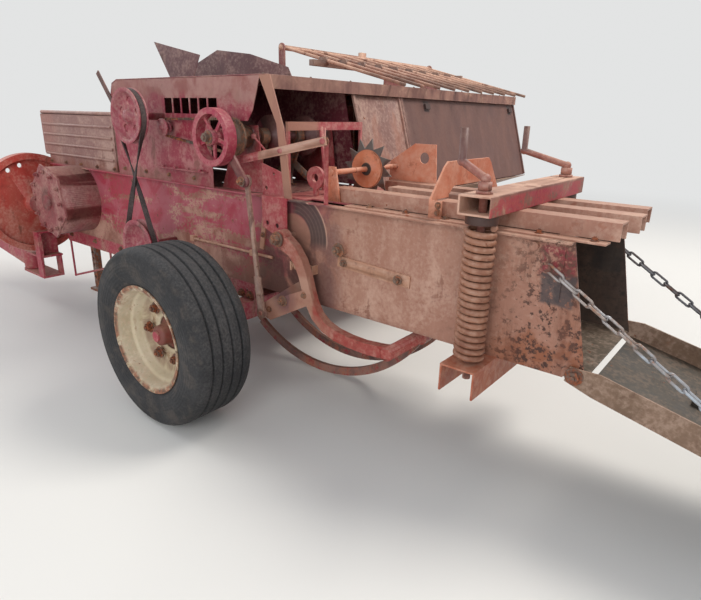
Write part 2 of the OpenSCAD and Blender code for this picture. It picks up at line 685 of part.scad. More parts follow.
module left_tyre() color(rubber) place() {
  r = tyre_od / 2;
  w = tyre_w / 2;
  s = seat_d / 2;
  translate([0, wheel_y, r]) rotate([-90, 0, 0]) rotate_extrude($fn = 96) difference() {
    polygon([[s, -w * 0.78], [s + 16, -w * 0.86], [s + 60, -w], [s + 96, -w],
      [r - 20, -w * 0.93], [r - 5, -w * 0.80], [r, -w * 0.60], [r, w * 0.60],
      [r - 5, w * 0.80], [r - 20, w * 0.93], [s + 96, w], [s + 60, w],
      [s + 16, w * 0.86], [s, w * 0.78]]);
    for (p = [-0.52, -0.18, 0.18, 0.52]) translate([r - 9, p * w - 4]) square([12, 8]);
  }
}

module right_tyre() color(rubber) place() {
  r = right_od / 2;
  w = right_w / 2;
  s = seat_d / 2;
  translate([0, -right_y, r]) rotate([-90, 0, 0]) rotate_extrude($fn = 96) difference() {
    polygon([[s, -w * 0.72], [s + 16, -w * 0.84], [s + 56, -w], [s + 84, -w * 0.97],
      [r - 12, -w * 0.82], [r, -w * 0.55], [r, w * 0.55], [r - 12, w * 0.82],
      [s + 84, w * 0.97], [s + 56, w], [s + 16, w * 0.84], [s, w * 0.72]]);
    for (p = [-0.3, 0.3]) translate([r - 8, p * w - 5]) square([10, 10]);
  }
}

// A dished rim about Y with its open side to +Y; w is half the rim's width.
module rim(w, dish, studs) difference() {
  s = seat_d / 2 - 0.3;
  rotate([-90, 0, 0]) rotate_extrude($fn = 96) union() {
    polygon([[s + 17, w], [s + 17, w - 4], [s, w - 8], [s, w - 50], [s - 16, w - 62],
      [s - 16, -w + 62], [s, -w + 50], [s, -w + 8], [s + 17, -w + 4], [s + 17, -w],
      [s + 10, -w], [s - 6, -w + 8], [s - 6, -w + 52], [s - 22, -w + 64],
      [s - 22, w - 64], [s - 6, w - 52], [s - 6, w - 8], [s + 10, w]]);
    polygon([[s - 21, dish + 24], [s - 21, dish + 14], [s - 62, dish - 6],
      [98, dish], [50, dish - 10], [50, dish - 3], [98, dish + 7], [s - 66, dish + 1]]);
    polygon([[spindle_d / 2 + run_clear, dish - 34], [46, dish - 34], [62, dish - 8],
      [62, dish], [44, dish + 10], [38, dish + 52], [24, dish + 60],
      [spindle_d / 2 + run_clear, dish + 60]]);
  }
  for (i = [0:studs - 1]) rotate([0, i * 360 / studs, 0]) {
    rod_y(106, 0, dish - 20, dish + 20, 26);
    rod_y(78, 0, dish - 40, dish - 6, 12);
  }
}

module left_rim() color(cream_paint) place() translate([0, wheel_y, axle_z])
  rim(tyre_w / 2 * 0.86 + 7, 0, 6);

module right_rim() color(cream_paint) place() translate([0, -right_y, right_z])
  rotate([0, 0, 180]) rim(right_w / 2 * 0.84 + 7, -9, 5);

// Gearbox, plunger, flywheel and belt drive

module gearbox_housing() color(red_paint) place() {
  translate([drum_x, cy, drum_z]) rotate([-90, 0, 0])
    cylinder(r = drum_r - 12, h = drum_out - 10, $fn = 96);
  side_plate(drum_y, 10) translate([drum_x, drum_z]) polygon([for (a = [0:60:300])
    on_circle(drum_r + 4, a + 18)]);
  for (a = [0:30:330]) rod_y(drum_x + (drum_r - 36) * cos(a), drum_z + (drum_r - 36) * sin(a),
    drum_y, drum_y + 8, 18);
  rod_y(drum_x, drum_z, drum_y, drum_y + 14, 84);
  difference() {
    rod_x(fly_y, fly_z, drum_x + 100, fly_x - fly_w / 2 - 30, 96);
    rod_x(fly_y, fly_z, fly_x - fly_w / 2 - 121, fly_x, 50 + 2 * run_clear);
  }
}

module flywheel() color(red_paint) place() difference() {
  translate([fly_x, fly_y, fly_z]) rotate([0, 90, 0]) union() {
    rotate_extrude($fn = 96) {
      translate([fly_r - 34, -fly_w / 2]) square([34, fly_w]);
      translate([40, -8]) square([fly_r - 60, 14]);
      translate([0, -44]) square([58, 74]);
    }
    translate([0, 0, -fly_w / 2 - 120]) cylinder(d = 50, h = 120);
    translate([0, 0, 20]) cylinder(d = 40, h = tongue_x - 34 - fly_x - 20);
    translate([0, 0, tongue_x - 33 - fly_x - 26]) cylinder(d = 74, h = 26);
    // shear bolt lug at the rim
    translate([fly_r - 70, -22, 5]) cube([44, 44, 24]);
  }
  for (a = [60, 78]) translate([fly_x - 50, fly_y + (fly_r - 62) * cos(a), fly_z + (fly_r - 62) * sin(a)])
    rotate([0, 90, 0]) cylinder(d = 26, h = 100);
}

module plunger() color(red_paint) place() {
  // hollow plunger with its needle slots and the connecting rod
  difference() {
    box(960, 1150, -cy + wall_t + 8, cy - wall_t - 8, chamber_z + 13, cz - 13);
    box(972, 1151, -cy + wall_t + 14, cy - wall_t - 14, chamber_z + 19, cz - 19);
    for (s = [-1, 1]) box(959, 1100, s * needle_gap / 2 - 14, s * needle_gap / 2 + 14,
      chamber_z + 12, cz - 60);
  }
  for (y = [-60, 60]) box(972, 1010, y - 6, y + 6, chamber_z + 150, chamber_z + 240);
  bar([990, 0, chamber_z + 192], [drum_x - 20, 0, chamber_z + 150], 52);
  rod_y(990, chamber_z + 192, -66, 66, 34);
  for (s = [-1, 1]) for (z = [chamber_z + 5, cz - 13]) box(970, 1140,
    min(s * (cy - 40), s * (cy - 80)), max(s * (cy - 40), s * (cy - 80)), z, z + 8);
  // crank inside the chamber
  rod_y(drum_x - 20, chamber_z + 150, -34, 34, 84);
  rod_y(drum_x, drum_z, 34, cy - wall_t, 70);
  flat_bar([drum_x, drum_z], [drum_x - 20, chamber_z + 150], 110, 34, 60);
}

belt_x = 500;
belt_top = 1120;
belt_y = 430;
belt_low = 560;
module belt_pulleys() color(red_paint) place() {
  difference() {
    union() {
      ring_y(belt_x, belt_top, belt_y - 20, belt_y + 20, 112, 96);
      rod_y(belt_x, belt_top, belt_y - 10, belt_y - 2, 196);
      rod_y(belt_x, belt_top, belt_y - 16, belt_y + 16, 52);
    }
    for (a = [0:72:288]) rotate_about(belt_x, belt_top, a + 20)
      translate([62, 0, 0]) rod_y(0, 0, belt_y - 30, belt_y + 30, 34);
    rod_y(belt_x, belt_top, belt_y - 40, belt_y + 40, 30);
    ring_y(belt_x, belt_top, belt_y - 14, belt_y + 14, 120, 104);
  }
  rod_y(belt_x, belt_top, panel_y, belt_y + 22, 30);
  difference() {
    union() {
      ring_y(belt_x + 10, belt_low, belt_y - 20, belt_y + 20, 122, 100);
      rod_y(belt_x + 10, belt_low, belt_y - 8, belt_y, 204);
    }
    ring_y(belt_x + 10, belt_low, belt_y - 14, belt_y + 14, 130, 114);
  }
  rod_y(belt_x + 10, belt_low, cy, belt_y + 18, 34);
  // idler sprocket of the knotter chain
  rod_y(440, 1076, panel_y + 18, panel_y + 26, 56);
  rod_y(440, 1076, panel_y, panel_y + 60, 18);
  rod_y(440, 1076, panel_y + 40, panel_y + 50, 74);
}

module drive_belt() color(rubber) place() {
  a = asin((108.3 + 118.3) / norm([10, belt_top - belt_low]));
  c = [belt_x, belt_top];
  d = [belt_x + 10, belt_low];
  tilt = atan2(d[1] - c[1], d[0] - c[0]);
  for (s = [-1, 1]) {
    p = c + on_circle(108.3, tilt + s * (90 - a));
    q = d + on_circle(118.3, tilt + 180 + s * (90 - a));
    u = (q - p) / norm(q - p);
    flat_bar(p - 4 * u, q + 4 * u, 6.6, belt_y + (s > 0 ? 0.5 : -11.5), belt_y + (s > 0 ? 11.5 : -0.5));
  }
  translate([c[0], belt_y, c[1]]) rotate([90, 0, 0]) rotate([0, 0, tilt + 90 - a])
    rotate_extrude(angle = 180 + 2 * a, $fn = 64) translate([104.3, -12]) square([8, 24]);
  translate([d[0], belt_y, d[1]]) rotate([90, 0, 0]) rotate([0, 0, tilt + 180 + 90 - a])
    rotate_extrude(angle = 180 + 2 * a, $fn = 64) translate([114.3, -12]) square([8, 24]);
}

module knotter_chain() color(steel) place() {
  // drum on the knotter shaft's end and the chain to the idler
  y0 = panel_y + 18;
  ring_y(knot_x, knot_z, 228, y0 + 10, 44, 17.5);
  ring_y(knot_x, knot_z, y0 + 2, y0 + 6, 66, 17.5);
  rise = 1076 - knot_z;
  a = asin(32 / norm([440, rise]));
  tilt = atan2(rise, 440);
  for (s = [-1, 1]) {
    p = [knot_x, knot_z] + on_circle(67, tilt + s * (90 - a));
    q = [440, 1076] + on_circle(35, tilt + s * (90 - a));
    u = (q - p) / norm(q - p);
    flat_bar(p - 4 * u, q + 4 * u, 6.6, y0 + 1, y0 + 7);
  }
  translate([knot_x, y0 + 8, knot_z]) rotate([90, 0, 0]) rotate([0, 0, tilt + 90 - a - 2])
    rotate_extrude(angle = 184 + 2 * a, $fn = 64) translate([63, 0.5]) square([8, 7]);
  translate([440, y0 + 8, 1076]) rotate([90, 0, 0]) rotate([0, 0, tilt - 90 + a - 2])
    rotate_extrude(angle = 184 - 2 * a, $fn = 48) translate([31, 0.5]) square([8, 7]);
}

// Twine box

module twine_box() color(tan_paint) place() {
  x1 = twine_x0 + twine_l;
  difference() {
    union() {
      side_plate(cy, chamber_w - 30) twine_side(0);
      for (i = [1:twine_ribs]) rod_x(cy, cz + i * twine_h / (twine_ribs + 1), twine_x0 + 20, x1 - 20, 14);
    }
    side_plate(cy - 3, chamber_w - 36) twine_side(3);
  }
}
module twine_side(t) polygon([[twine_x0 + t, cz + t], [fly_x - fly_w / 2 - 16 - t, cz + t],
  [fly_x - fly_w / 2 - 16 - t, cz + 56 + t], [twine_x0 + twine_l - t, cz + 56 + t],
  [twine_x0 + twine_l - t, cz + twine_h + (t > 0 ? 1 : 0)], [twine_x0 + t, cz + twine_h + (t > 0 ? 1 : 0)]]);

module twine_lid() color(tan_paint) place() {
  x1 = twine_x0 + twine_l;
  box(twine_x0 - 6, x1 + 6, -cy + 24, cy - 14, cz + twine_h, cz + twine_h + 3);
  rod_x(cy - 14, cz + twine_h + 10, twine_x0 - 6, x1 + 6, 20);
  rod_x(-cy + 20, cz + twine_h + 6, twine_x0 + 40, twine_x0 + 140, 12);
  rod_x(-cy + 20, cz + twine_h + 6, x1 - 140, x1 - 40, 12);
}

// Feeder housing

// Where the front faces of the leaning rear panels stand at height z
function lean_x(z) = -house_back - (house_z - 52 - z) * tan(house_lean);

module feeder_end_panels() color(red_paint) place() {
  // left end panel with its barred window
  difference() {
    side_plate(panel_y, sheet_t) polygon([[-house_back + 8, house_z - 5], [house_front - 60, house_z - 5],
      [house_front - 18, house_z - 22], [house_front - 2, house_z - 62], [house_front - 2, cz],
      [170, cz], [170, knot_z + 60], [-60, knot_z + 60], [-90, knot_z + 100]]);
    box(120, 480, panel_y - 10, panel_y + 10, house_z - 145, house_z - 83);
  }
  for (i = [1:5]) rod_z(120 + i * 60, panel_y - 1.5, house_z - 146, house_z - 82, 8);
  side_plate(panel_y + 5, 5) polygon([[-294, cz + 4], [-256, cz + 4], [-222, knot_z + 54],
    [-134, house_z - 4], [-192, house_z - 4], [-258, knot_z + 40]]);
  // lever at its front corner
  flat_bar([905, house_z - 106], [1018, house_z + 34], 24, panel_y, panel_y + 6);
  // ledge along its foot and the red cover under the idler
  box(170, house_front - 2, cy, panel_y - sheet_t, cz, cz + 4);
  box(200, 560, panel_y, panel_y + 26, cz + 60, cz + 64);
  for (x = [240, 330, 420, 510]) rod_z(x, panel_y + 14, cz + 64, cz + 72, 16);
  // right end panel, down to the feed deck
  side_plate(-house_right + sheet_t, sheet_t) polygon([[lean_x(house_z - 5) + 0.05, house_z - 5],
    [house_front - 60, house_z - 5], [house_front - 18, house_z - 22], [house_front - 2, house_z - 62],
    [house_front - 2, 560], [520, 500], [380, 500], [lean_x(skirt_z + 4) + 0.05, skirt_z + 4]]);
}

module lean() translate([-house_back, 0, house_z - 52]) rotate([0, house_lean, 0]) children();

module feeder_rear_panels() color(tan_paint) place() {
  // two leaning panels with a seam, stiffened along their edges
  t = sheet_t;
  h = (house_z - 52 - skirt_z) / cos(house_lean);
  for (p = [[-cy - 3, -620], [-624, -house_right]]) lean() {
    box(-t, 0, p[1], p[0], -h, 0);
    box(-t - 8, -t, p[1], p[1] + 14, -h, 0);
    box(-t - 8, -t, p[0] - 14, p[0], -h, 0);
  }
  lean() for (y = [-1900, -861]) box(-t - 12, -t, y - 22, y + 22, -52, -26);
  lean() box(-t, 40, -house_right + t + 1, -cy - 3, -h - 3, -h);
}

module feeder_hood() color(red_paint) place() {
  // top sheet with a rounded front and an overhanging rear band
  translate([0, panel_y, 0]) rotate([90, 0, 0]) linear_extrude(panel_y + house_right)
    polygon([[-house_back - 20, house_z - 50], [-house_back - 20, house_z],
      [house_front - 60, house_z], [house_front - 16, house_z - 16],
      [house_front + 3, house_z - 60], [house_front + 3, cz + 36], [house_front, cz + 36],
      [house_front, house_z - 61], [house_front - 19, house_z - 19],
      [house_front - 61, house_z - 4], [-house_back - 16, house_z - 4],
      [-house_back - 16, house_z - 50]]);
  // stands of the wind guard's bar, and the rail of the feeder rake
  for (y = [guard_y0 - 16, guard_y1 + 14]) difference() {
    union() {
      box(478, 522, y, y + 8, house_z, guard_z);
      rod_y(guard_x, guard_z, y, y + 8, 44);
    }
    rod_y(guard_x, guard_z, y - 1, y + 9, 26 + 2 * run_clear);
  }
  box(470, 530, -1700, -300, house_z - 40, house_z - 4);
  // two bearing plates on the top sheet, behind the guard's bar
  for (y = [-1470, -1900]) cross_plate(396, 5) polygon([[y - 10, house_z], [y, 1386], [y + 26, 1410],
    [y + 196, 1410], [y + 220, 1386], [y + 228, house_z]]);
}

module feeder_deck() color(steel) place() {
  // floor behind the pickup, and the pan that rises to the rear panels
  y1 = -house_right + sheet_t;
  difference() {
    box(380, 770, y1, -cy, 500, 504);
    for (y = plate_y) box(715, 771, y - 6, y + 14, 499, 505);
  }
  box(380, 384, y1, -cy, 500, 542);
  flat_bar([skirt_x + 4, skirt_z - 6], [383, 540], 4, y1, -cy);
  // beam under the deck, and the brackets of the pickup's pivot
  difference() {
    box(400, 480, -1790, -cy, 420, 500);
    box(408, 472, -1791, -cy - 12, 428, 492);
  }
  for (y = [-pick_y0 + 44, -pick_y1 - 8]) difference() {
    union() {
      box(480, lift_x, y, y + 8, lift_z - 22, 500);
      rod_y(lift_x, lift_z, y, y + 8, 66);
    }
    rod_y(lift_x, lift_z, y - 1, y + 9, 38 + 2 * run_clear);
  }
}

module feeder_shields() color(red_paint) place() {
  // two bent sheets standing on the housing
  side_plate(1, 3) polygon([[938, 1472], [569, 1396], [640, house_z], [807, house_z]]);
  side_plate(-400, 3) polygon([[1365, 1335], [947, 1472], [672, 1440], [389, 1367], [362, 1320],
    [420, house_z], [900, house_z]]);
}

module feeder_rake() color(steel) place() {
  difference() {
    box(458, 542, -1160, -640, house_z - 84, house_z - 12);
    box(470 - run_clear, 530 + run_clear, -1161, -639, house_z - 40 - run_clear, house_z - 11);
  }
  for (y = [-1100, -900, -700]) {
    bar([500, y, house_z - 66], [500, y, 760], 26);
    bar([500, y, 790], [560, y, 640], 20);
    bar([480, y + 40, house_z - 66], [440, y + 40, 640], 20);
  }
}

// Pickup

lift_x = 725;
lift_z = 440;
tail_x = pick_x - 165;
plate_y = [-pick_y0 + 20, -pick_y1 - 28];
module pickup_frame() color(red_paint) place() {
  rod_y(lift_x, lift_z, -pick_y1 - 28, -pick_y0 + 58, 38);
  for (y = plate_y) difference() {
    side_plate(y + 8, 8) polygon([[lift_x - 30, lift_z - 30], [lift_x - 26, lift_z + 34],
      [tail_x, pick_z + band_r - 3], [pick_x + 10, pick_z + band_r - 3], [pick_x + 100, pick_z + 112],
      [pick_x + 142, pick_z], [pick_x + 100, pick_z - 112], [pick_x + 10, pick_z - band_r + 3],
      [tail_x, pick_z - band_r + 3]]);
    rod_y(pick_x, pick_z, y - 1, y + 9, 30 + 2 * run_clear);
  }
  // cross angles that hold the bands' tails
  box(tail_x - 6, tail_x + 12, -pick_y1 - 20, -pick_y0 + 20, pick_z + band_r - 9, pick_z + band_r - 3);
  box(tail_x - 6, tail_x, -pick_y1 - 20, -pick_y0 + 20, pick_z + band_r - 27, pick_z + band_r - 9);
  box(tail_x - 6, tail_x + 12, -pick_y1 - 20, -pick_y0 + 20, pick_z - band_r + 3, pick_z - band_r + 9);
  box(tail_x - 6, tail_x, -pick_y1 - 20, -pick_y0 + 20, pick_z - band_r + 9, pick_z - band_r + 27);
  // arm and stub of the gauge wheel
  side_plate(-pick_y1 - 28, 6) polygon([[tail_x, pick_z - 60], [pick_x - 60, pick_z - 60],
    [904, 156], [856, 156]]);
  rod_y(880, 170, -pick_y1 - 106, -pick_y1 - 30, 24);
}

module pickup_bands() color(red_paint) place() {
  pitch = pick_l / tines;
  for (i = [0:tines]) {
    y = -pick_y0 - i * pitch;
    w = pitch - 16;
    y1 = i == 0 ? y : y + w / 2;
    y0 = i == tines ? y : y - w / 2;
    translate([pick_x, y1, pick_z]) rotate([90, 0, 0]) rotate([0, 0, -90])
      rotate_extrude(angle = 180, $fn = 72) translate([band_r - 3, 0]) square([3, y1 - y0]);
    for (z = [band_r - 3, -band_r]) box(tail_x - 6, pick_x, y0, y1, pick_z + z, pick_z + z + 3);
  }
}

module pickup_reel() color(steel) place() {
  rod_y(pick_x, pick_z, -pick_y1 - 24, -pick_y0 + 24, 30);
  for (b = [0:tine_bars - 1]) rotate_about(pick_x, pick_z, b * 360 / tine_bars + 20) {
    rod_y(92, 0, -pick_y1 + 14, -pick_y0 - 14, 22);
    for (i = [0:tines - 1]) {
      y = -pick_y0 - (i + 0.5) * pick_l / tines;
      bar([92, y, 0], [band_r + 44, y, -14], 6);
    }
  }
  for (y = [-pick_y0 - 26, -pick_y1 + 20]) rod_y(pick_x, pick_z, y, y + 6, 230);
}

module gauge_wheel() color(steel) place() translate([880, -pick_y1 - 70, 170])
  rotate([-90, 0, 0]) rotate_extrude($fn = 64) polygon([[12 + run_clear, -26], [30, -26], [34, -6],
    [84, -6], [88, -24], [98, -28], [110, -20], [110, 20], [98, 28], [88, 24], [84, 6], [34, 6],
    [30, 26], [12 + run_clear, 26]]);

// Wind guard

guard_x = 500;
guard_y0 = -456;
guard_y1 = -house_right + 20;
module wind_guard() color(tan_paint) place() {
  // tube, rods, and the strip that clips the rods together
  rod_y(guard_x, guard_z, guard_y1, guard_y0, 26);
  v = [-735, -30, -188];
  step = (guard_y0 - guard_y1 - 88) / (guard_rods - 1);
  at_strip = 252 / 735;
  for (i = [0:guard_rods - 1]) {
    foot = [guard_x, guard_y0 - 49 - i * step, guard_z];
    clip = foot + at_strip * v;
    bar(foot, foot + v, guard_rod_d);
    box(clip[0] - 20, clip[0] + 20, clip[1] - 13, clip[1] + 13, clip[2] - 26, clip[2] + 12);
  }
  strip_z = guard_z - 188 * at_strip;
  box(232, 264, guard_y1 + 6, guard_y0 + 34, strip_z - 34, strip_z - 6);
  // handle on the tube
  box(488, 512, -1176, -1128, guard_z, guard_z + 34);
}

// Tongue and drive shaft

module tongue() color(red_paint) place() {
  tz = arm_z - 68;
  difference() {
    union() {
      rod_z(tongue_x, fly_y, tz - 54, tz + 54, 110);
      translate([tongue_x, fly_y, tz]) rotate([0, -atan2(hitch_z - tz, tongue_l), 0])
        box(30, tongue_l - 130, -42, 42, -38, 38);
      for (s = [-1, 1]) {
        box(hitch_x - 190, hitch_x, fly_y - 46, fly_y + 46, hitch_z + s * 32 - 9, hitch_z + s * 32 + 9);
        rod_z(hitch_x, fly_y, hitch_z + s * 32 - 9, hitch_z + s * 32 + 9, 92);
      }
      box(hitch_x - 190, hitch_x - 130, fly_y - 46, fly_y + 46, hitch_z - 30, hitch_z + 30);
    }
    rod_z(tongue_x, fly_y, tz - 56, tz + 56, 44 + 2 * run_clear);
    rod_z(hitch_x, fly_y, hitch_z - 60, hitch_z + 60, hitch_d);
  }
  // post that carries the drive shaft
  difference() {
    union() {
      box(hitch_x - 420, hitch_x - 400, fly_y - 40, fly_y + 40, hitch_z - 20, fly_z);
      rod_x(fly_y, fly_z, hitch_x - 430, hitch_x - 390, 100);
    }
    rod_x(fly_y, fly_z, hitch_x - 450, hitch_x - 380, 40 + 2 * run_clear);
  }
}

module pto_shaft() color(steel) place() translate([tongue_x, fly_y, fly_z]) rotate([0, 90, 0])
  rotate_extrude() polygon(concat([[0, -27], [12, -24], [21, -17], [26, -7], [27, 4], [24, 13],
    [20, 20], [20, 34], [31, 36], [31, 94], [20, 98], [20, tongue_l - 306], [stub_d / 2, tongue_l - 304],
    [stub_d / 2, tongue_l - 200], [0, tongue_l - 200]]));

// Node switches
chamber_left_wall();
chamber_right_wall();
chamber_floor();
chamber_top();
top_rails();
knotter_frame();
star_posts();
knotter_heads();
arch_bracket();
tension_beams();
tension_springs();
tension_cranks();
main_frame();
axle();
parking_stand();
gearbox_housing();
twine_box();
twine_lid();
feeder_end_panels();
feeder_rear_panels();
feeder_hood();
feeder_deck();
feeder_shields();
feeder_rake();
belt_pulleys();
drive_belt();
knotter_chain();
needle_latch();
plunger();
left_tyre();
left_rim();
right_tyre();
right_rim();
flywheel();
tongue();
pto_shaft();
pickup_frame();
pickup_bands();
pickup_reel();
gauge_wheel();
wind_guard();
knotter_wheel();
lift_link();
needle_yoke();
star_wheel();
chute();
chute_chains();
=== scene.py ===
"""Looks of a worn square baler for hay: faded paint, rust, dust and small hardware on its frame."""

import math

import bmesh
import bpy
from mathutils import Matrix, Vector


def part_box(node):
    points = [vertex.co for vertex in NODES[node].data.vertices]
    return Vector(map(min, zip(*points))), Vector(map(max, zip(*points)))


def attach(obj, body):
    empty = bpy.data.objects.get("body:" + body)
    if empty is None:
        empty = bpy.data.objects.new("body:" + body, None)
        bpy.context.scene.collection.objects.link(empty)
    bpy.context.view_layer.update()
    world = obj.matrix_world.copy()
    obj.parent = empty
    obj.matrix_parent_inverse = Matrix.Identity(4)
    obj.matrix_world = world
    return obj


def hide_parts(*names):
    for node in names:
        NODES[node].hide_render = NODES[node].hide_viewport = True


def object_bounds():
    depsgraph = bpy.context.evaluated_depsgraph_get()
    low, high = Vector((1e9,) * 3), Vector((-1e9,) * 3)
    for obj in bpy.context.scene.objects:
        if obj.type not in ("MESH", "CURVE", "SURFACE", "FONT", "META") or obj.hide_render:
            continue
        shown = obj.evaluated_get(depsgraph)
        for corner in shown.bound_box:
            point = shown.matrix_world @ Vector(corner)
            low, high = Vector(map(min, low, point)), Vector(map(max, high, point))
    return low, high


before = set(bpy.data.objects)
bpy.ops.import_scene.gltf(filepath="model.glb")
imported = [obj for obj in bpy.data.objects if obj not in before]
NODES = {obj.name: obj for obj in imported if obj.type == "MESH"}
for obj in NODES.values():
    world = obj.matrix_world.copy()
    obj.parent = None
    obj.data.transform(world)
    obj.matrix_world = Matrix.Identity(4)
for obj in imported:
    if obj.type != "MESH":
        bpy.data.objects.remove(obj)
cad_low, cad_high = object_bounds()

# The machine's own datum is the axle line at the chamber's middle; the frame's is the middle of the plan.
# The middle of the left rim gives the axle line, and the chamber's floor gives its middle.
rim_low, rim_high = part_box("left_rim")
floor_low, floor_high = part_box("chamber_floor")
axle_x = (rim_low.x + rim_high.x) / 2
middle_y = (floor_low.y + floor_high.y) / 2
half_chamber = floor_high.y + 0.005 - middle_y
deck_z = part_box("chamber_top")[1].z


def at(x, y, z):
    """A point x ahead of the axle, y to the left of the chamber's middle and z above the ground."""
    return Vector((axle_x + x, middle_y + y, z))


# Camera: at the photograph's place, behind and to the left of the baler, looking forward and down.
# The lens and the three axes come from the vanishing points of the chamber's edges.
camera_right = Vector((-0.7783, -0.6275, 0.0218))
camera_up = Vector((0.2182, -0.2377, 0.9465))
camera_back = Vector((-0.5887, 0.7414, 0.3219))
camera_data = bpy.data.cameras.new("camera")
camera_data.sensor_width = 36.0
camera_data.lens = 28.0
camera_data.clip_start = 0.05
camera_data.clip_end = 200
camera = bpy.data.objects.new("camera", camera_data)
bpy.context.scene.collection.objects.link(camera)
turn = Matrix((camera_right, camera_up, camera_back)).transposed().to_4x4()
camera_place = at(-1.738, 1.727, 1.146)
camera.matrix_world = Matrix.Translation(camera_place) @ turn
bpy.context.scene.camera = camera


# Bale chamber: a long box of folded sheet. Its left wall is crimson in front and tan behind, where it
# was painted over, and rusts through at the rear end. Each finish is built from noises in the
# machine's own coordinates, so it doesn't stretch or swim on any piece.
class Value:
    """A socket in a material; arithmetic on it adds Math nodes."""

    def __init__(self, finish, socket):
        self.finish, self.socket = finish, socket

    def math(self, operation, *others, clamp=False):
        settings = {"operation": operation, "use_clamp": clamp}
        return self.finish.node("ShaderNodeMath", settings, [self, *others])

    def __add__(self, other):
        return self.math("ADD", other)

    def __radd__(self, other):
        return self.math("ADD", other)

    def __sub__(self, other):
        return self.math("SUBTRACT", other)

    def __rsub__(self, other):
        return self.finish.node("ShaderNodeMath", {"operation": "SUBTRACT"}, [other, self])

    def __mul__(self, other):
        return self.math("MULTIPLY", other)

    def __rmul__(self, other):
        return self.math("MULTIPLY", other)

    def __pow__(self, other):
        return self.math("POWER", other)

    def clamp(self):
        return self.math("ADD", 0.0, clamp=True)

    def wave(self, pitch, operation="SINE"):
        """A wave from -1 to 1 that repeats after pitch metres."""
        return (self * (2 * math.pi / pitch)).math(operation)

    def step(self, low, high):
        """0 below low, 1 above high and smooth between; high may be the lower of the two."""
        return self.finish.node("ShaderNodeMapRange", {"interpolation_type": "SMOOTHSTEP"},
                                {"Value": self, "From Min": low, "From Max": high})

    def band(self, low, high, soft):
        """1 between low and high, falling to 0 over soft outside them."""
        return self.step(low - soft, low + soft) * self.step(high + soft, high - soft)


class Finish:
    """A procedural material that is put together from nodes."""

    def __init__(self, name):
        self.material = bpy.data.materials.new(name)
        self.material.use_nodes = True
        self.tree = self.material.node_tree
        self.shader = self.tree.nodes["Principled BSDF"]
        coords = self.tree.nodes.new("ShaderNodeTexCoord")
        self.at = Value(self, coords.outputs["Object"])
        self.normal = Value(self, coords.outputs["Normal"])
        x, y, z = self.parts(self.at)
        self.x, self.y, self.z = x - axle_x, y - middle_y, z

    def node(self, kind, settings, inputs, output=0):
        """Adds a node; inputs is a list in socket order or a dict by socket name, of values or links."""
        made = self.tree.nodes.new(kind)
        for key, value in settings.items():
            setattr(made, key, value)
        pairs = inputs.items() if isinstance(inputs, dict) else enumerate(inputs)
        for key, value in pairs:
            if isinstance(value, Value):
                self.tree.links.new(value.socket, made.inputs[key])
            else:
                made.inputs[key].default_value = value
        return Value(self, made.outputs[output])

    def parts(self, vector):
        split = self.tree.nodes.new("ShaderNodeSeparateXYZ")
        self.tree.links.new(vector.socket, split.inputs[0])
        return [Value(self, s) for s in split.outputs]

    def noise(self, scale, detail=4.0, rough=0.55, shift=(0, 0, 0), stretch=(1, 1, 1), bend=0.0):
        """A noise from 0 to 1; a small number in stretch draws it out along that axis."""
        moved = self.node("ShaderNodeMapping", {}, {"Vector": self.at, "Location": shift, "Scale": stretch})
        return self.node("ShaderNodeTexNoise", {},
                         {"Vector": moved, "Scale": scale, "Detail": detail, "Roughness": rough,
                          "Distortion": bend})

    def mix(self, factor, first, second):
        """A colour between first and second, each a value or (red, green, blue) of 0 to 255."""
        mixer = self.tree.nodes.new("ShaderNodeMix")
        mixer.data_type = "RGBA"
        for index, value in ((0, factor), (6, first), (7, second)):
            if isinstance(value, Value):
                self.tree.links.new(value.socket, mixer.inputs[index])
            else:
                mixer.inputs[index].default_value = (*tone(*value), 1) if index else value
        return Value(self, mixer.outputs[2])

    def blotch(self, first, second, low=0.4, high=0.6):
        """Soft patches of two colours; low and high are where the cloud noise turns."""
        return self.mix(self.cloud.step(low, high), first, second)

    def ring(self, x, y, z, axis="y"):
        """Distance from a line through that point along the axis y or z, in metres."""
        ahead = self.x - x
        beside = self.z - z if axis == "y" else self.y - y
        return (ahead * ahead + beside * beside) ** 0.5

    def finish(self, colour, rough, bump=None, depth=0.001, metal=None):
        for name, value in (("Base Color", colour), ("Roughness", rough), ("Metallic", metal)):
            if isinstance(value, Value):
                self.tree.links.new(value.socket, self.shader.inputs[name])
            elif value is not None:
                self.shader.inputs[name].default_value = value
        if bump is not None:
            raised = self.node("ShaderNodeBump", {}, {"Height": bump, "Distance": depth, "Strength": 1.0},
                               "Normal")
            self.tree.links.new(raised.socket, self.shader.inputs["Normal"])
        return self.material


def tone(red, green, blue):
    """The linear light of a colour of 0 to 255 screen values."""
    return tuple((c / 255) ** 2.2 for c in (red, green, blue))


RUST_DARK, RUST_LIGHT = (74, 42, 30), (142, 78, 48)
DUST, GRIME = (172, 142, 118), (50, 42, 38)
TAN, TAN_PALE, TAN_DEEP = (158, 112, 94), (180, 138, 119), (130, 84, 68)
CRIMSON, MAROON = (156, 36, 62), (84, 36, 42)


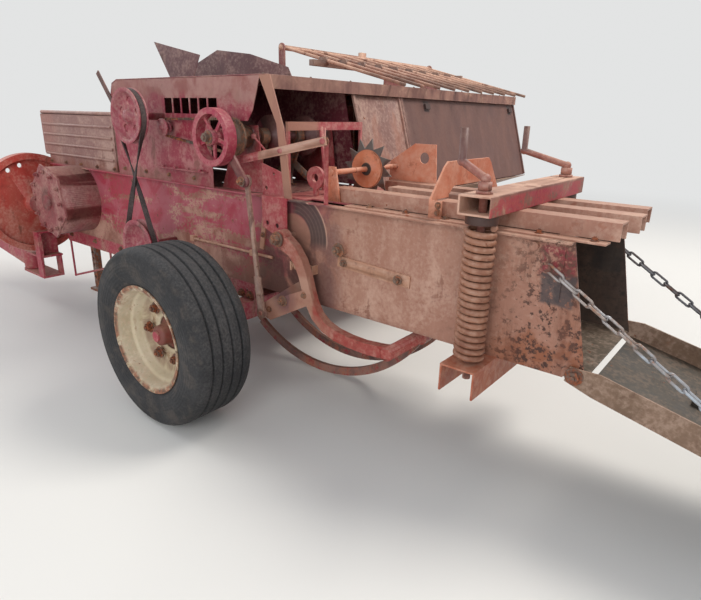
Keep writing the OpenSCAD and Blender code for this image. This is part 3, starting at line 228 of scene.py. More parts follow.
def paint(name, fresh, faded, under, fade=0.5, rust=0.3, dust=0.3, seed=0.0, streak=0.4, marks=None):
    """Old paint: fresh where it is sheltered, faded elsewhere and on upward faces as painted light, under
    where it has worn through.

    marks(finish, base) may add what belongs to one place only, before dust settles on it.
    """
    f = Finish(name)
    shift = (seed, seed * 0.7, seed * 1.3)
    broad = f.noise(1.7, 3, 0.5, shift)
    cloud = f.noise(7.0, 6, 0.64, shift, bend=0.7)
    fine = f.noise(70.0, 4, 0.62, shift)
    drips = f.noise(13.0, 5, 0.62, shift, stretch=(1, 1, 0.12))
    chips = f.noise(27.0, 7, 0.7, shift, bend=0.3)
    _, across, up = f.parts(f.normal)
    sky = up.step(0.3, 0.95)
    bleached = (broad * 0.5 + cloud * 0.5).step(0.66 - fade * 0.4, 0.76 - fade * 0.4)
    # Faded by random bleaching, and on upward faces (sky) as painted light.
    bleach_and_top_light = (bleached * 0.85 + sky * 0.3).clamp()
    base = f.mix(bleach_and_top_light, fresh, faded)
    base = f.mix(drips.step(0.46, 0.62) * 0.35, base, faded)
    base = f.mix((fine * 0.5 + cloud * 0.5).step(0.44, 0.62) * 0.2, base, (226, 196, 176))
    base = f.mix((fine * 0.4 + chips * 0.6).step(0.46, 0.36) * 0.35, base, under)
    worn = (cloud * 0.55 + drips * 0.45).step(0.64 - fade * 0.14, 0.69 - fade * 0.14)
    base = f.mix(worn * 0.85, base, under)
    run = (drips * 0.65 + chips * 0.35).step(0.62 - streak * 0.1, 0.74 - streak * 0.1)
    base = f.mix(run * streak, base, RUST_LIGHT)
    pits = (chips * 0.75 + cloud * 0.25).step(0.665 - rust * 0.13, 0.70 - rust * 0.13)
    rusty = f.mix(fine.step(0.35, 0.65), RUST_DARK, RUST_LIGHT)
    base = f.mix(pits, base, rusty)
    height = fine * 0.2 + chips * 0.25 - pits * 0.45 - worn * 0.15
    f.cloud, f.fine, f.drips, f.chips = cloud, fine, drips, chips
    f.rusty, f.sky, f.across = rusty, sky, across
    if marks:
        base = marks(f, base)
    settled = (sky * 0.85 + 0.15) * (broad * 0.4 + fine * 0.6).step(0.32, 0.62)
    base = f.mix(settled * dust, base, DUST)
    base = f.mix((cloud * 0.5 + chips * 0.5).step(0.44, 0.30) * 0.35, base, GRIME)
    rough = 0.5 + bleach_and_top_light * 0.14 + pits * 0.26 + settled * dust * 0.3
    return f.finish(base, rough.clamp(), height, 0.0014)


join_distance = 0.00002


def dress(nodes, material, edge=0.0016):
    """Gives CAD nodes their finish, and edges that catch the light as folded sheet does."""
    for node in nodes.split():
        NODES[node].data.materials.clear()
        NODES[node].data.materials.append(material)
        weld = NODES[node].modifiers.new("weld", "WELD")
        weld.merge_threshold = join_distance
        bevel = NODES[node].modifiers.new("edges", "BEVEL")
        bevel.width, bevel.segments, bevel.limit_method = edge, 2, "ANGLE"
        bevel.angle_limit = math.radians(40)


def add_piece(name, mesh, body, material, replaced=(), sharp=30):
    """Links a finished mesh as a piece on a body: smooth, with the edges above sharp degrees kept."""
    if material is not None:
        mesh.materials.clear()
        mesh.materials.append(material)
    mesh.shade_smooth()
    mesh.set_sharp_from_angle(angle=math.radians(sharp))
    made = bpy.data.objects.new(name, mesh)
    bpy.context.scene.collection.objects.link(made)
    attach(made, body)
    if replaced:
        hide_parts(*replaced)


def joined(node):
    """A copy of a CAD node's loose triangles, joined to one skin, for editing."""
    made = bmesh.new()
    made.from_mesh(NODES[node].data)
    bmesh.ops.remove_doubles(made, verts=made.verts, dist=join_distance)
    return made


def as_mesh(made, name):
    """The mesh of an edited skin, which is closed with it."""
    mesh = bpy.data.meshes.new(name)
    made.to_mesh(mesh)
    made.free()
    return mesh


def rounded(node, body, material, sharp=30, name=None):
    """A CAD node of round bars, rings or castings, shaded as one skin, as the piece node_finished."""
    name = name or node + "_finished"
    add_piece(name, as_mesh(joined(node), name), body, material, (node,), sharp)


pivot_x, pivot_z = -0.280, 0.700  # the pivot of the needle yoke on the left wall


def wall_marks(f, base):
    """Crimson with scoured patches ahead of the needles; rust specks and a dark patch at the rear end;
    painted shade near the needles and on the inner faces.
    """
    front = (f.x + (f.cloud - 0.5) * 0.26 + f.z.step(0.70, 0.80) * 0.20).step(-0.34, -0.16)
    scrape = f.noise(6.0, 6, 0.66, (2.0, 0, 5.0), stretch=(0.34, 1, 1.5), bend=0.6)
    red = f.blotch(CRIMSON, (164, 78, 92), 0.38, 0.58)
    low = (f.z + (scrape - 0.5) * 0.5).step(0.66, 0.50)
    bare = ((scrape * 0.75 + f.fine * 0.25) + low * 0.085).step(0.52, 0.56)
    red = f.mix(bare * 0.9, red, f.blotch(TAN_DEEP, TAN_PALE))
    red = f.mix((f.drips * 0.5 + f.fine * 0.5).step(0.53, 0.62) * 0.5, red, (120, 60, 56))
    red = f.mix(f.chips.step(0.60, 0.66), red, f.rusty)
    base = f.mix(front * 0.94, base, red)
    pivot = f.ring(pivot_x, 0, pivot_z)
    shade = (f.x + (f.cloud - 0.5) * 0.10).band(-0.50, -0.12, 0.05) * f.cloud.step(0.30, 0.52)
    base = f.mix(shade * 0.62, base, f.mix(f.drips.step(0.40, 0.60), (84, 54, 60), (112, 76, 74)))
    # A dark disc with fine concentric lines and a pale rim is painted round the yoke pivot, in its upper
    # rear quarter; no geometry stands under it.
    swept = f.x.step(-0.26, -0.30) * f.z.step(0.66, 0.70)
    lines = pivot.wave(0.016).step(0.2, 0.9)
    ringed_dark_disc = f.mix(lines * 0.5, (72, 58, 56), (104, 86, 80))
    base = f.mix(pivot.band(0.088, 0.166, 0.004) * swept * 0.9, base, ringed_dark_disc)
    base = f.mix(pivot.band(0.166, 0.171, 0.002) * swept * 0.8, base, (190, 150, 130))
    base = f.mix(pivot.step(0.090, 0.082) * 0.8, base, TAN)
    greasy = f.ring(-0.22, 0, 0.50).step(0.34, 0.10) * f.cloud.step(0.34, 0.54)
    base = f.mix(greasy * 0.75, base, (72, 46, 40))
    base = f.mix(f.z.step(0.475, 0.425) * f.cloud.step(0.34, 0.54) * 0.8, base, (88, 54, 48))
    rear = (f.x + f.z * 0.25).step(-0.86, -1.12)
    corner = (rear * f.z.step(0.76, 0.50) * 0.8 + rear * 0.2) * f.cloud.step(0.38, 0.58)
    base = f.mix(corner, base, (138, 82, 56))
    speck = (f.noise(52.0, 5, 0.72) * 0.8 + f.cloud * 0.2).step(0.51, 0.57)
    base = f.mix(speck * rear, base, (62, 34, 26))
    base = f.mix(f.drips.step(0.50, 0.62) * f.x.step(-0.9, -1.1) * 0.55, base, (108, 62, 44))
    scab = (f.x + (f.cloud - 0.5) * 0.08).band(-1.335, -1.235, 0.008)
    scab = scab * (f.z + (f.chips - 0.5) * 0.06).band(0.735, 0.825, 0.008)
    scab = scab * (f.chips * 0.6 + f.fine * 0.4).step(0.42, 0.50)
    base = f.mix(scab * 0.9, base, f.mix(f.fine.step(0.42, 0.58), (126, 34, 48), (84, 44, 36)))
    patch = (f.x + (f.chips - 0.5) * 0.03).band(-1.338, -1.245, 0.006)
    patch = patch * (f.z + (f.cloud - 0.5) * 0.03).band(0.655, 0.745, 0.006)
    base = f.mix(patch * (f.fine * 0.5 + f.chips * 0.5).step(0.36, 0.48) * 0.85, base, (58, 54, 58))
    # Painted shade: the walls' inner faces, inside the chamber, are painted near black.
    inner_face_shade = (f.y * f.across).step(-0.05, -0.15) * f.y.band(-0.252, 0.252, 0.001)
    dark = f.blotch((38, 34, 32), (58, 50, 44))
    return f.mix(inner_face_shade * 0.9, base, dark)


wall_paint = paint("wall_paint", TAN, TAN_PALE, TAN_DEEP, fade=0.45, rust=0.14, seed=1.0, streak=0.3,
                   marks=wall_marks)
side_tan = paint("side_tan", TAN, TAN_PALE, (150, 82, 56), rust=0.34, seed=4.0, streak=0.5)
dark_paint = paint("dark_paint", MAROON, (120, 62, 60), RUST_DARK, fade=0.25, rust=0.35, seed=3.0)
dress("chamber_left_wall chamber_right_wall", wall_paint)
# A dark brown for the chamber's floor.
floor_dark_brown = paint("floor_dark_brown", (62, 54, 44), (84, 72, 58), RUST_DARK, fade=0.3, dust=0.12, seed=3.5,
                 streak=0.3)
dress("chamber_top plunger", dark_paint)
dress("chamber_floor", floor_dark_brown)
dress("top_rails", side_tan, 0.001)


# Orange pieces: the arch over the rails and the two posts of the star wheel, cut from plate and bolted
# to the chamber's rim. Their orange is a newer coat, paler on top from bleaching and from painted light,
# and brown at every edge.
def orange_marks(f, base):
    foot = f.z.step(deck_z + 0.07, deck_z + 0.005) * f.cloud.step(0.3, 0.55)
    return f.mix(foot * 0.8, base, f.rusty)


orange_paint = paint("orange_paint", (196, 108, 76), (210, 140, 112), (150, 80, 56), seed=5.0,
                     streak=0.45, marks=orange_marks)
dress("arch_bracket star_posts", orange_paint, 0.001)
star_x, star_z = -0.434, deck_z + 0.108


def star_marks(f, base):
    reach = f.ring(star_x, 0, star_z)
    base = f.mix(reach.step(0.071, 0.074), base, f.blotch((96, 88, 84), RUST_DARK))
    return f.mix(reach.step(0.026, 0.022), base, GRIME)


star_paint = paint("star_paint", (198, 116, 82), (208, 138, 108), RUST_LIGHT, dust=0.25, seed=5.5,
                   streak=0.35, marks=star_marks)
rounded("star_wheel", "star", star_paint, sharp=25)


# Bale tension: two box beams across the chamber, drawn together by the springs with two cranked screws.
# The upper beam is tan on top and scratched to crimson behind, where its rear face is darker brown,
# partly old paint and partly painted shade; the springs keep their paint on the coils.
def beam_marks(f, base):
    behind = f.x.step(-1.128, -1.133) * f.z.step(deck_z + 0.03, deck_z + 0.05)
    scraped = (f.noise(9.0, 6, 0.7, (3, 1, 2), stretch=(1, 0.5, 1)) * 0.7 + f.fine * 0.3).step(0.45, 0.51)
    edge = f.z.step(deck_z + 0.108, deck_z + 0.098)
    # The rear face is darkened brown: partly its old paint, partly painted shade.
    base = f.mix(behind * f.cloud.step(0.30, 0.50) * 0.85, base, (108, 62, 54))
    base = f.mix(behind * scraped * edge * 0.9, base, f.mix(f.fine.step(0.4, 0.6), CRIMSON, (160, 62, 62)))
    under = f.z.step(deck_z - 0.2, deck_z - 0.4) * (0.55 + f.chips.step(0.38, 0.6) * 0.45)
    return f.mix(under, base, f.blotch((150, 70, 46), (170, 96, 68)))


beam_paint = paint("beam_paint", TAN, (204, 160, 138), TAN_DEEP, fade=0.6, rust=0.36, seed=7.0,
                   streak=0.35, marks=beam_marks)
dress("tension_beams", beam_paint, 0.002)


def crank_marks(f, base):
    handle = f.z.step(deck_z + 0.185, deck_z + 0.20)
    return f.mix(handle * 0.8, base, (84, 60, 58))


crank_paint = paint("crank_paint", (140, 84, 74), (162, 108, 94), (96, 60, 52), fade=0.45, rust=0.4,
                    dust=0.25, seed=7.5, marks=crank_marks)
rounded("tension_cranks", "frame", crank_paint, sharp=40)


def grow(name, points, build, inputs, edges=(), attributes=None):
    """Runs a Geometry Nodes tree over a small mesh and returns the mesh that it makes.

    build(tree, group_in, group_out) wires the tree; inputs are its named sizes and its material.
    """
    seed_mesh = bpy.data.meshes.new(name + "_points")
    seed_mesh.from_pydata([tuple(p) for p in points], list(edges), [])
    for label, values in (attributes or {}).items():
        kind, field = ("FLOAT", "value") if isinstance(values[0], float) else ("FLOAT_VECTOR", "vector")
        layer = seed_mesh.attributes.new(label, kind, "POINT")
        for item, value in zip(layer.data, values):
            setattr(item, field, value)
    carrier = bpy.data.objects.new(name + "_carrier", seed_mesh)
    bpy.context.scene.collection.objects.link(carrier)
    tree = bpy.data.node_groups.new(name + "_tree", "GeometryNodeTree")
    tree.interface.new_socket("Geometry", in_out="INPUT", socket_type="NodeSocketGeometry")
    for label, value in inputs.items():
        kind = "NodeSocketMaterial" if isinstance(value, bpy.types.Material) else "NodeSocketFloat"
        tree.interface.new_socket(label, in_out="INPUT", socket_type=kind)
    tree.interface.new_socket("Geometry", in_out="OUTPUT", socket_type="NodeSocketGeometry")
    build(tree, tree.nodes.new("NodeGroupInput"), tree.nodes.new("NodeGroupOutput"))
    modifier = carrier.modifiers.new("grow", "NODES")
    modifier.node_group = tree
    for label, value in inputs.items():
        socket = next(s for s in tree.interface.items_tree if s.name == label and s.in_out == "INPUT")
        modifier[socket.identifier] = value
    graph = bpy.context.evaluated_depsgraph_get()
    mesh = bpy.data.meshes.new_from_object(carrier.evaluated_get(graph))
    mesh.name = name
    carrier.modifiers.remove(modifier)
    bpy.data.objects.remove(carrier)
    return mesh


def wire(tree, source, output, target, socket):
    tree.links.new(source.outputs[output], target.inputs[socket])


def new_node(tree, kind, inputs=None, **settings):
    """Adds a node; each of its inputs is a value, or another node with the name of its output."""
    made = tree.nodes.new(kind)
    for key, value in settings.items():
        setattr(made, key, value)
    for key, value in (inputs or {}).items():
        if isinstance(value, tuple) and isinstance(value[0], bpy.types.Node):
            wire(tree, *value, made, key)
        else:
            made.inputs[key].default_value = value
    return made


def end_tree(tree, group_in, group_out, spread):
    """Every tree ends the same way: real geometry, in the given material."""
    real = new_node(tree, "GeometryNodeRealizeInstances", {"Geometry": (spread, "Instances")})
    coat = new_node(tree, "GeometryNodeSetMaterial",
                    {"Geometry": (real, "Geometry"), "Material": (group_in, "Material")})
    wire(tree, coat, "Geometry", group_out, "Geometry")


def spring_tree(tree, group_in, group_out):
    coil = new_node(tree, "GeometryNodeCurveSpiral",
                    {"Resolution": 40, "Rotations": (group_in, "Coils"),
                     "Start Radius": (group_in, "Radius"), "End Radius": (group_in, "Radius"),
                     "Height": (group_in, "Height")})
    section = new_node(tree, "GeometryNodeCurvePrimitiveCircle",
                       {"Resolution": 12, "Radius": (group_in, "Wire")})
    swept = new_node(tree, "GeometryNodeCurveToMesh",
                     {"Fill Caps": True, "Curve": (coil, "Curve"), "Profile Curve": (section, "Curve")})
    spread = new_node(tree, "GeometryNodeInstanceOnPoints",
                      {"Points": (group_in, "Geometry"), "Instance": (swept, "Mesh")})
    end_tree(tree, group_in, group_out, spread)


def spring_marks(f, base):
    # Painted shade: the springs are painted dark at the top, under the beam.
    top = f.z.step(deck_z + 0.022, deck_z + 0.030)
    base = f.mix(top, base, (64, 42, 38))
    return f.mix(f.cloud.step(0.48, 0.60) * 0.7, base, (120, 72, 52))


spring_paint = paint("spring_paint", (146, 98, 76), (164, 118, 96), (104, 60, 46), fade=0.4, rust=0.42,
                     dust=0.2, seed=8.0, marks=spring_marks)
spring_low, spring_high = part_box("tension_springs")
beam_middle = (spring_low.x + spring_high.x) / 2
coil_radius, wire_radius, cap_height, cap_radius = 0.0378, 0.0091, 0.026, 0.047
spring_foot = spring_low.z + wire_radius
spring_length = spring_high.z - cap_height - wire_radius - spring_foot
spring_sides = (spring_low.y + cap_radius, spring_high.y - cap_radius)
spring_spots = [(beam_middle, side, spring_foot) for side in spring_sides]
spring_mesh = grow("spring_coils", spring_spots, spring_tree,
                   {"Coils": 19.5, "Radius": coil_radius, "Height": spring_length, "Wire": wire_radius,
                    "Material": spring_paint})


def skin(made, rings, closed=True):
    """Faces between rings of as many points, each ring to the next, and from the last to the first."""
    faces = []
    for here, after in zip(rings, rings[1:] + rings[:1] if closed else rings[1:]):
        for j in range(len(here)):
            k = (j + 1) % len(here)
            faces.append(made.faces.new((here[j], here[k], after[k], after[j])))
    return faces


def lathe(mesh, profile, centre, axis, steps):
    """Adds a closed outline of (radius, along) pairs, turned about axis through centre."""
    along = Vector(axis).normalized()
    first = along.orthogonal().normalized()
    second = along.cross(first)
    rings = []
    for i in range(steps):
        a = 2 * math.pi * i / steps
        out = first * math.cos(a) + second * math.sin(a)
        rings.append([mesh.verts.new(Vector(centre) + out * r + along * t) for r, t in profile])
    bmesh.ops.recalc_face_normals(mesh, faces=skin(mesh, rings))


def lathed(name, outlines, body, material, replaced=(), steps=96, sharp=30):
    """A piece of one or more turned outlines: (profile, centre, axis) each."""
    made = bmesh.new()
    for profile, centre, axis in outlines:
        lathe(made, profile, centre, axis, steps)
    add_piece(name, as_mesh(made, name), body, material, replaced, sharp)


add_piece("spring_coils", spring_mesh, "frame", None, ("tension_springs",), sharp=60)
cap = [(0.016, 0), (0.045, 0), (0.046, 0.002), (0.046, 0.023), (0.044, 0.025), (0.016, 0.025)]
lathed("spring_caps", [(cap, (x, y, spring_high.z - 0.0255), (0, 0, 1)) for x, y, z in spring_spots],
       "frame", spring_paint, steps=48)


# Bale chute: a folded sheet floor between two side rails, hinged at the chamber's rear end and held by
# a galvanised chain on each side. The floor is worn to olive primer and darkened near black as painted
# shade; the rails are a dusty brown.
def chute_marks(f, base):
    floor = f.y.band(-0.252, 0.252, 0.002)
    # The floor's olive is darkened near black: partly primer, partly painted shade.
    olive = f.blotch((38, 35, 30), (58, 52, 44), 0.36, 0.60)
    olive = f.mix((f.drips * 0.5 + f.fine * 0.5).step(0.46, 0.60) * 0.5, olive, (98, 80, 66))
    olive = f.mix(f.chips.step(0.64, 0.70), olive, f.rusty)
    base = f.mix(floor, base, olive)
    ends = f.x.step(-2.02, -2.10) * f.cloud.step(0.4, 0.6) * 0.6
    return f.mix(ends, base, RUST_DARK)


chute_paint = paint("chute_paint", (108, 84, 66), (124, 98, 80), (88, 60, 48), rust=0.4, dust=0.08,
                    seed=9.0, streak=0.5, marks=chute_marks)
dress("chute", chute_paint, 0.0012)


def steel(name, bright, dull, rust=0.5, seed=0.0, metal=0.7, rough=0.45, marks=None):
    """Bare steel that has gone brown, bright only where it rubs."""
    f = Finish(name)
    shift = (seed, seed * 0.7, seed * 1.3)
    cloud = f.noise(11.0, 5, 0.6, shift, bend=0.4)
    fine = f.noise(85.0, 4, 0.62, shift)
    broad = f.noise(2.5, 2, 0.5, shift)
    mixed = (cloud * 0.6 + fine * 0.4).step(0.62 - rust * 0.35, 0.72 - rust * 0.3)
    base = f.mix(cloud.step(0.35, 0.65), bright, dull)
    brown = f.mix(fine.step(0.38, 0.62), RUST_DARK, RUST_LIGHT)
    base = f.mix(mixed, base, brown)
    base = f.mix((broad * 0.5 + cloud * 0.5).step(0.42, 0.62) * 0.4, base, DUST)
    if marks:
        base = marks(f, base)
    bare = (1 - mixed) * metal
    return f.finish(base, (rough + mixed * 0.38).clamp(), fine * 0.5 + mixed * 0.5, 0.0009, bare)


def chain_marks(f, base):
    return f.mix(f.y.step(0.05, -0.05) * 0.75, base, (58, 44, 40))


galvanised = steel("galvanised", (158, 168, 178), (112, 116, 122), rust=0.25, seed=2.0, metal=0.55,
                   rough=0.5, marks=chain_marks)
rounded("chute_chains", "chains", galvanised, sharp=40)


# Main frame, axle and feeder deck: rolled angles under the chamber, a square tube axle, a drilled parking
# stand and the sheet that the rake sweeps. They were crimson once and are mostly rust and dirt now.
frame_paint = paint("frame_paint", CRIMSON, (148, 84, 78), (96, 58, 46), fade=0.4, rust=0.5, dust=0.5,
                    seed=10.0, streak=0.5)
brown_steel = steel("brown_steel", (140, 130, 122), (92, 82, 76), rust=0.65, seed=1.0)
dress("main_frame axle", frame_paint)
dress("parking_stand", brown_steel)
rounded("feeder_deck", "frame",
        paint("deck_paint", (120, 88, 74), (146, 112, 94), (92, 60, 48), rust=0.5, dust=0.5, seed=11.0,
              streak=0.5))


# Wheels: rubber tyres on pressed steel rims; the tyres are lathed as a tyre mould shapes them, and the rims
# are smoothed copies of the CAD rims.
# The left tyre is wide with four shallow grooves, the right one narrower with two. Both are grey with
# dust; the rims were painted cream and rust in rings at the beads and round the wheel nuts.
def rubber(name, colour, dusty, seed=0.0, axis=None, radius=1.0):
    """Rubber, grey with dust where it isn't worn clean, with moulded rings if it has an axis."""
    f = Finish(name)
    cloud = f.noise(6.0, 5, 0.6, (seed, 0, 0))
    fine = f.noise(120.0, 3, 0.6, (seed, 0, 0))
    smear = f.noise(16.0, 4, 0.6, (seed, 2, 0), bend=0.5)
    base = f.mix((cloud * 0.6 + fine * 0.4).step(0.35, 0.7), colour, dusty)
    base = f.mix((smear * 0.6 + fine * 0.4).step(0.46, 0.70) * 0.12, base, (112, 102, 94))
    height = fine * 0.4 + smear * 0.2
    if axis:
        reach = f.ring(*axis)
        rings = reach.wave(0.0125) * reach.band(radius * 0.62, radius * 0.86, 0.004)
        tread = reach.step(radius - 0.012, radius - 0.004)
        base = f.mix(tread * (cloud * 0.4 + fine * 0.6).step(0.42, 0.66) * 0.14, base, (96, 94, 94))
        base = f.mix((1 - tread) * smear.step(0.44, 0.70) * 0.16, base, (112, 98, 86))
        height = height + rings * 0.35
    return f.finish(base, (0.74 + cloud * 0.18).clamp(), height, 0.0011)


def tyre_outline(bead, half_width, radius, grooves, groove_width=0.010, groove_depth=0.007):
    """A tyre's section from its left bead over the tread to its right one, as (radius, along) pairs."""
    w = half_width
    left = [(bead, -0.70 * w), (bead, -0.78 * w), (bead + 0.006, -0.835 * w), (bead + 0.016, -0.87 * w),
            (bead + 0.021, -0.885 * w), (bead + 0.024, -0.905 * w), (bead + 0.042, -0.965 * w),
            (bead + 0.060, -0.99 * w), (bead + 0.078, -w), (bead + 0.096, -0.995 * w)]
    wall = radius - 0.020 - (bead + 0.096)
    left += [(bead + 0.096 + wall * 0.5, -0.97 * w), (radius - 0.030, -0.945 * w),
             (radius - 0.024, -0.955 * w), (radius - 0.018, -0.935 * w), (radius - 0.011, -0.88 * w),
             (radius - 0.005, -0.80 * w), (radius - 0.0015, -0.71 * w), (radius, -0.62 * w)]
    tread = []
    for place in grooves:
        middle, half = place * w, groove_width / 2
        tread += [(radius, middle - half - 0.001), (radius - 0.0015, middle - half),
                  (radius - groove_depth, middle - half * 0.6),
                  (radius - groove_depth, middle + half * 0.6), (radius - 0.0015, middle + half),
                  (radius, middle + half + 0.001)]
    return left + tread + [(r, -t) for r, t in reversed(left)]


wheels = [  # side, nuts, how far out of the tyre's middle they sit, grooves of the tread
    ("left", 6, 0.020, (-0.52, -0.18, 0.18, 0.52)),
    ("right", 5, 0.011, (-0.3, 0.3)),
]
nut_circle, nut_size = 0.106, 0.027
wheel_nuts = {}
for side, nuts, nut_face, grooves in wheels:
    body, tyre, rim = side + "_wheel", side + "_tyre", side + "_rim"
    low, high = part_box(tyre)
    hub = (low + high) / 2
    radius, half_width = (high.z - low.z) / 2, (high.y - low.y) / 2
    bead = (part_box(rim)[1].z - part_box(rim)[0].z) / 2 - 0.0167
    axis = (hub.x - axle_x, hub.y - middle_y, hub.z)
    mould = rubber(side + "_rubber", (36, 36, 38), (58, 57, 58), seed=hub.y, axis=axis, radius=radius)
    lathed(tyre + "_finished", [(tyre_outline(bead, half_width, radius, grooves), hub, (0, 1, 0))], body,
           mould, (tyre,), steps=128, sharp=40)

    def rim_marks(f, base, axis=axis, bead=bead):
        reach = f.ring(*axis)
        edge = reach.step(bead - 0.012, bead + 0.006) * f.chips.step(0.36, 0.52)
        base = f.mix(edge * 0.9, base, f.rusty)
        root = reach.band(bead - 0.062, bead - 0.030, 0.008) * f.cloud.step(0.35, 0.55)
        base = f.mix(root * 0.7, base, (112, 78, 62))
        base = f.mix(reach.band(0.085, 0.125, 0.01) * f.chips.step(0.40, 0.55) * 0.7, base, (120, 70, 48))
        hub_red = f.blotch((118, 56, 50), (96, 66, 56))
        return f.mix(reach.step(0.072, 0.064), base, hub_red)

    rim_paint = paint(side + "_rim_paint", (190, 174, 142), (206, 194, 168), (146, 106, 76), rust=0.46,
                      dust=0.35, seed=6.0 + hub.y, streak=0.5, marks=rim_marks)
    rounded(rim, body, rim_paint, sharp=28)
    outward = 1 if hub.y > middle_y else -1
    first_nut = math.pi if outward < 0 else 0
    wheel_nuts[body] = []
    for a in [first_nut + 2 * math.pi * i / nuts for i in range(nuts)]:
        spot = hub + Vector((nut_circle * math.cos(a), outward * nut_face, nut_circle * math.sin(a)))
        wheel_nuts[body].append((spot, (0, outward, 0), nut_size))


# Crank drum and flywheel: a cast drum under a six-sided plate on the left wall, and the flywheel on the
# input shaft. The drum is a dull red, greasy round its middle; the flywheel is orange-red.
drum_x, drum_z = 1.365, 0.6695


def drum_marks(f, base):
    greasy = f.ring(drum_x, 0, drum_z).step(0.10, 0.04) * f.cloud.step(0.35, 0.6)
    base = f.mix(greasy * 0.7, base, (66, 44, 40))
    wall = f.y.step(0.43, 0.40) * f.cloud.step(0.4, 0.6) * 0.5
    return f.mix(wall, base, (104, 60, 58))


drum_paint = paint("drum_paint", (130, 56, 62), (146, 88, 86), (104, 62, 56), fade=0.45, seed=12.0,
                   streak=0.3, marks=drum_marks)
rounded("gearbox_housing", "frame", drum_paint, sharp=16)
fly_paint = paint("fly_paint", (168, 58, 50), (172, 92, 78), (118, 62, 50), fade=0.4, rust=0.34, dust=0.25,
                  seed=13.0, streak=0.3)
rounded("flywheel", "fly", fly_paint, sharp=16)


# Twine box: a long bin of thin sheet with pressed ribs, rolled at its upper edge, under a flat lid.
def bin_marks(f, base):
    foot = f.z.step(deck_z + 0.07, deck_z + 0.01) * f.drips.step(0.40, 0.58)
    base = f.mix(foot * 0.75, base, (126, 76, 62))
    front = (f.x + (f.cloud - 0.5) * 0.2).step(1.55, 1.70) * 0.5
    base = f.mix(front, base, (146, 88, 80))
    between = (f.z - deck_z).wave(0.0544, "COSINE").step(0.2, 0.9)
    return f.mix(between * f.cloud.step(0.42, 0.60) * 0.45, base, (128, 88, 80))


bin_paint = paint("bin_paint", (138, 100, 94), (158, 122, 112), (116, 76, 68), rust=0.26, dust=0.25,
                  seed=14.0, streak=0.45, marks=bin_marks)
dress("twine_box twine_lid", bin_paint, 0.001)


# Feeder housing: sheet panels under a rounded hood, dark red with a brownish band at the hood's rear. The
# leaning rear panels are brown, darker on the far side as painted shade, and hang from dark hinges.
def housing_marks(f, base):
    band = f.x.step(-0.135, -0.150)
    base = f.mix(band * 0.85, base, f.blotch((104, 72, 64), (136, 100, 86)))
    streaks = f.drips.step(0.47, 0.60) * (1 - f.sky)
    base = f.mix(streaks * 0.5, base, (150, 108, 96))
    return f.mix(f.cloud.step(0.55, 0.64) * 0.5, base, (176, 136, 118))


def panel_marks(f, base):
    lower = f.z.step(0.98, 0.80) * f.cloud.step(0.36, 0.60)
    base = f.mix(lower * 0.6, base, (126, 88, 76))
    base = f.mix(f.drips.step(0.47, 0.60) * 0.5, base, (148, 96, 78))
    # Painted shade: the far side of the rear panels is painted darker brown.
    far = (f.y + (f.cloud - 0.5) * 0.1).step(-0.60, -0.68)
    base = f.mix(far * 0.9, base, f.mix(f.drips.step(0.34, 0.66), (86, 56, 51), (98, 67, 60)))
    strips = f.y.band(-0.887, -0.835, 0.004) + f.y.band(-1.926, -1.874, 0.004)
    hinge = f.z.band(1.168, 1.222, 0.004) * strips
    return f.mix(hinge * f.x.step(-0.142, -0.150), base, (62, 44, 42))


housing_paint = paint("housing_paint", (118, 50, 58), (132, 76, 76), (104, 62, 56), fade=0.45, rust=0.34,
                      seed=15.0, streak=0.5, marks=housing_marks)
panel_paint = paint("panel_paint", (116, 78, 70), (132, 96, 86), (100, 64, 56), fade=0.55, rust=0.32,
                    dust=0.12, seed=16.0, streak=0.5, marks=panel_marks)


def end_marks(f, base):
    strap = f.x.step(-0.13, -0.138) * f.y.step(0.268, 0.2695)
    lever = f.x.step(0.90, 0.905) * f.y.step(0.2702, 0.2708)
    base = f.mix(strap * f.z.step(deck_z, deck_z + 0.004), base, TAN)
    base = f.mix(lever, base, (84, 58, 54))
    top = (f.z + (f.cloud - 0.5) * 0.16).step(1.17, 1.22) * (1 - strap) * (1 - lever)
    base = f.mix(top * 0.75, base, f.blotch((132, 86, 76), (156, 118, 108)))
    base = f.mix(f.drips.step(0.52, 0.62) * 0.35, base, (146, 96, 86))
    foot = f.z.step(deck_z + 0.07, deck_z + 0.01) * f.cloud.step(0.35, 0.6)
    return f.mix(foot * 0.6, base, (120, 78, 66))


end_paint = paint("end_paint", (138, 38, 58), (150, 68, 80), (116, 64, 62), fade=0.4, dust=0.22, seed=17.0,
                  marks=end_marks)
dress("feeder_hood", housing_paint, 0.001)
dress("feeder_rear_panels", panel_paint, 0.0008)
dress("feeder_end_panels", end_paint, 0.001)
dress("feeder_shields",
      paint("shield_paint", (86, 52, 56), (104, 72, 74), (80, 52, 48), rust=0.34, dust=0.2, seed=18.0),
      0.001)
dress("feeder_rake", brown_steel)


# Wind guard: ten rods from a tube above the hood, clipped to a strip. The rods are tan where paint is
# left and dark where the hay has polished them.
def guard_marks(f, base):
    worn = (f.x + (f.cloud - 0.5) * 0.5).step(0.12, -0.10) * f.cloud.step(0.36, 0.52)
    base = f.mix(worn * 0.75, base, (92, 66, 58))
    clips = f.x.band(0.222, 0.274, 0.004)
    return f.mix(clips * 0.8, base, (88, 60, 54))


guard_paint = paint("guard_paint", TAN, (200, 156, 132), (112, 74, 60), rust=0.34, seed=19.0, streak=0.35,
                    marks=guard_marks)
rounded("wind_guard", "guard", guard_paint, sharp=40)


# Knotters and the linkage that lifts the needles: cast heads on one shaft, driven by a chain, with
# cranks and levers of flat bar. Grease and chaff darken the heads; the lever bar is crimson in front.
shaft_z = 1.054


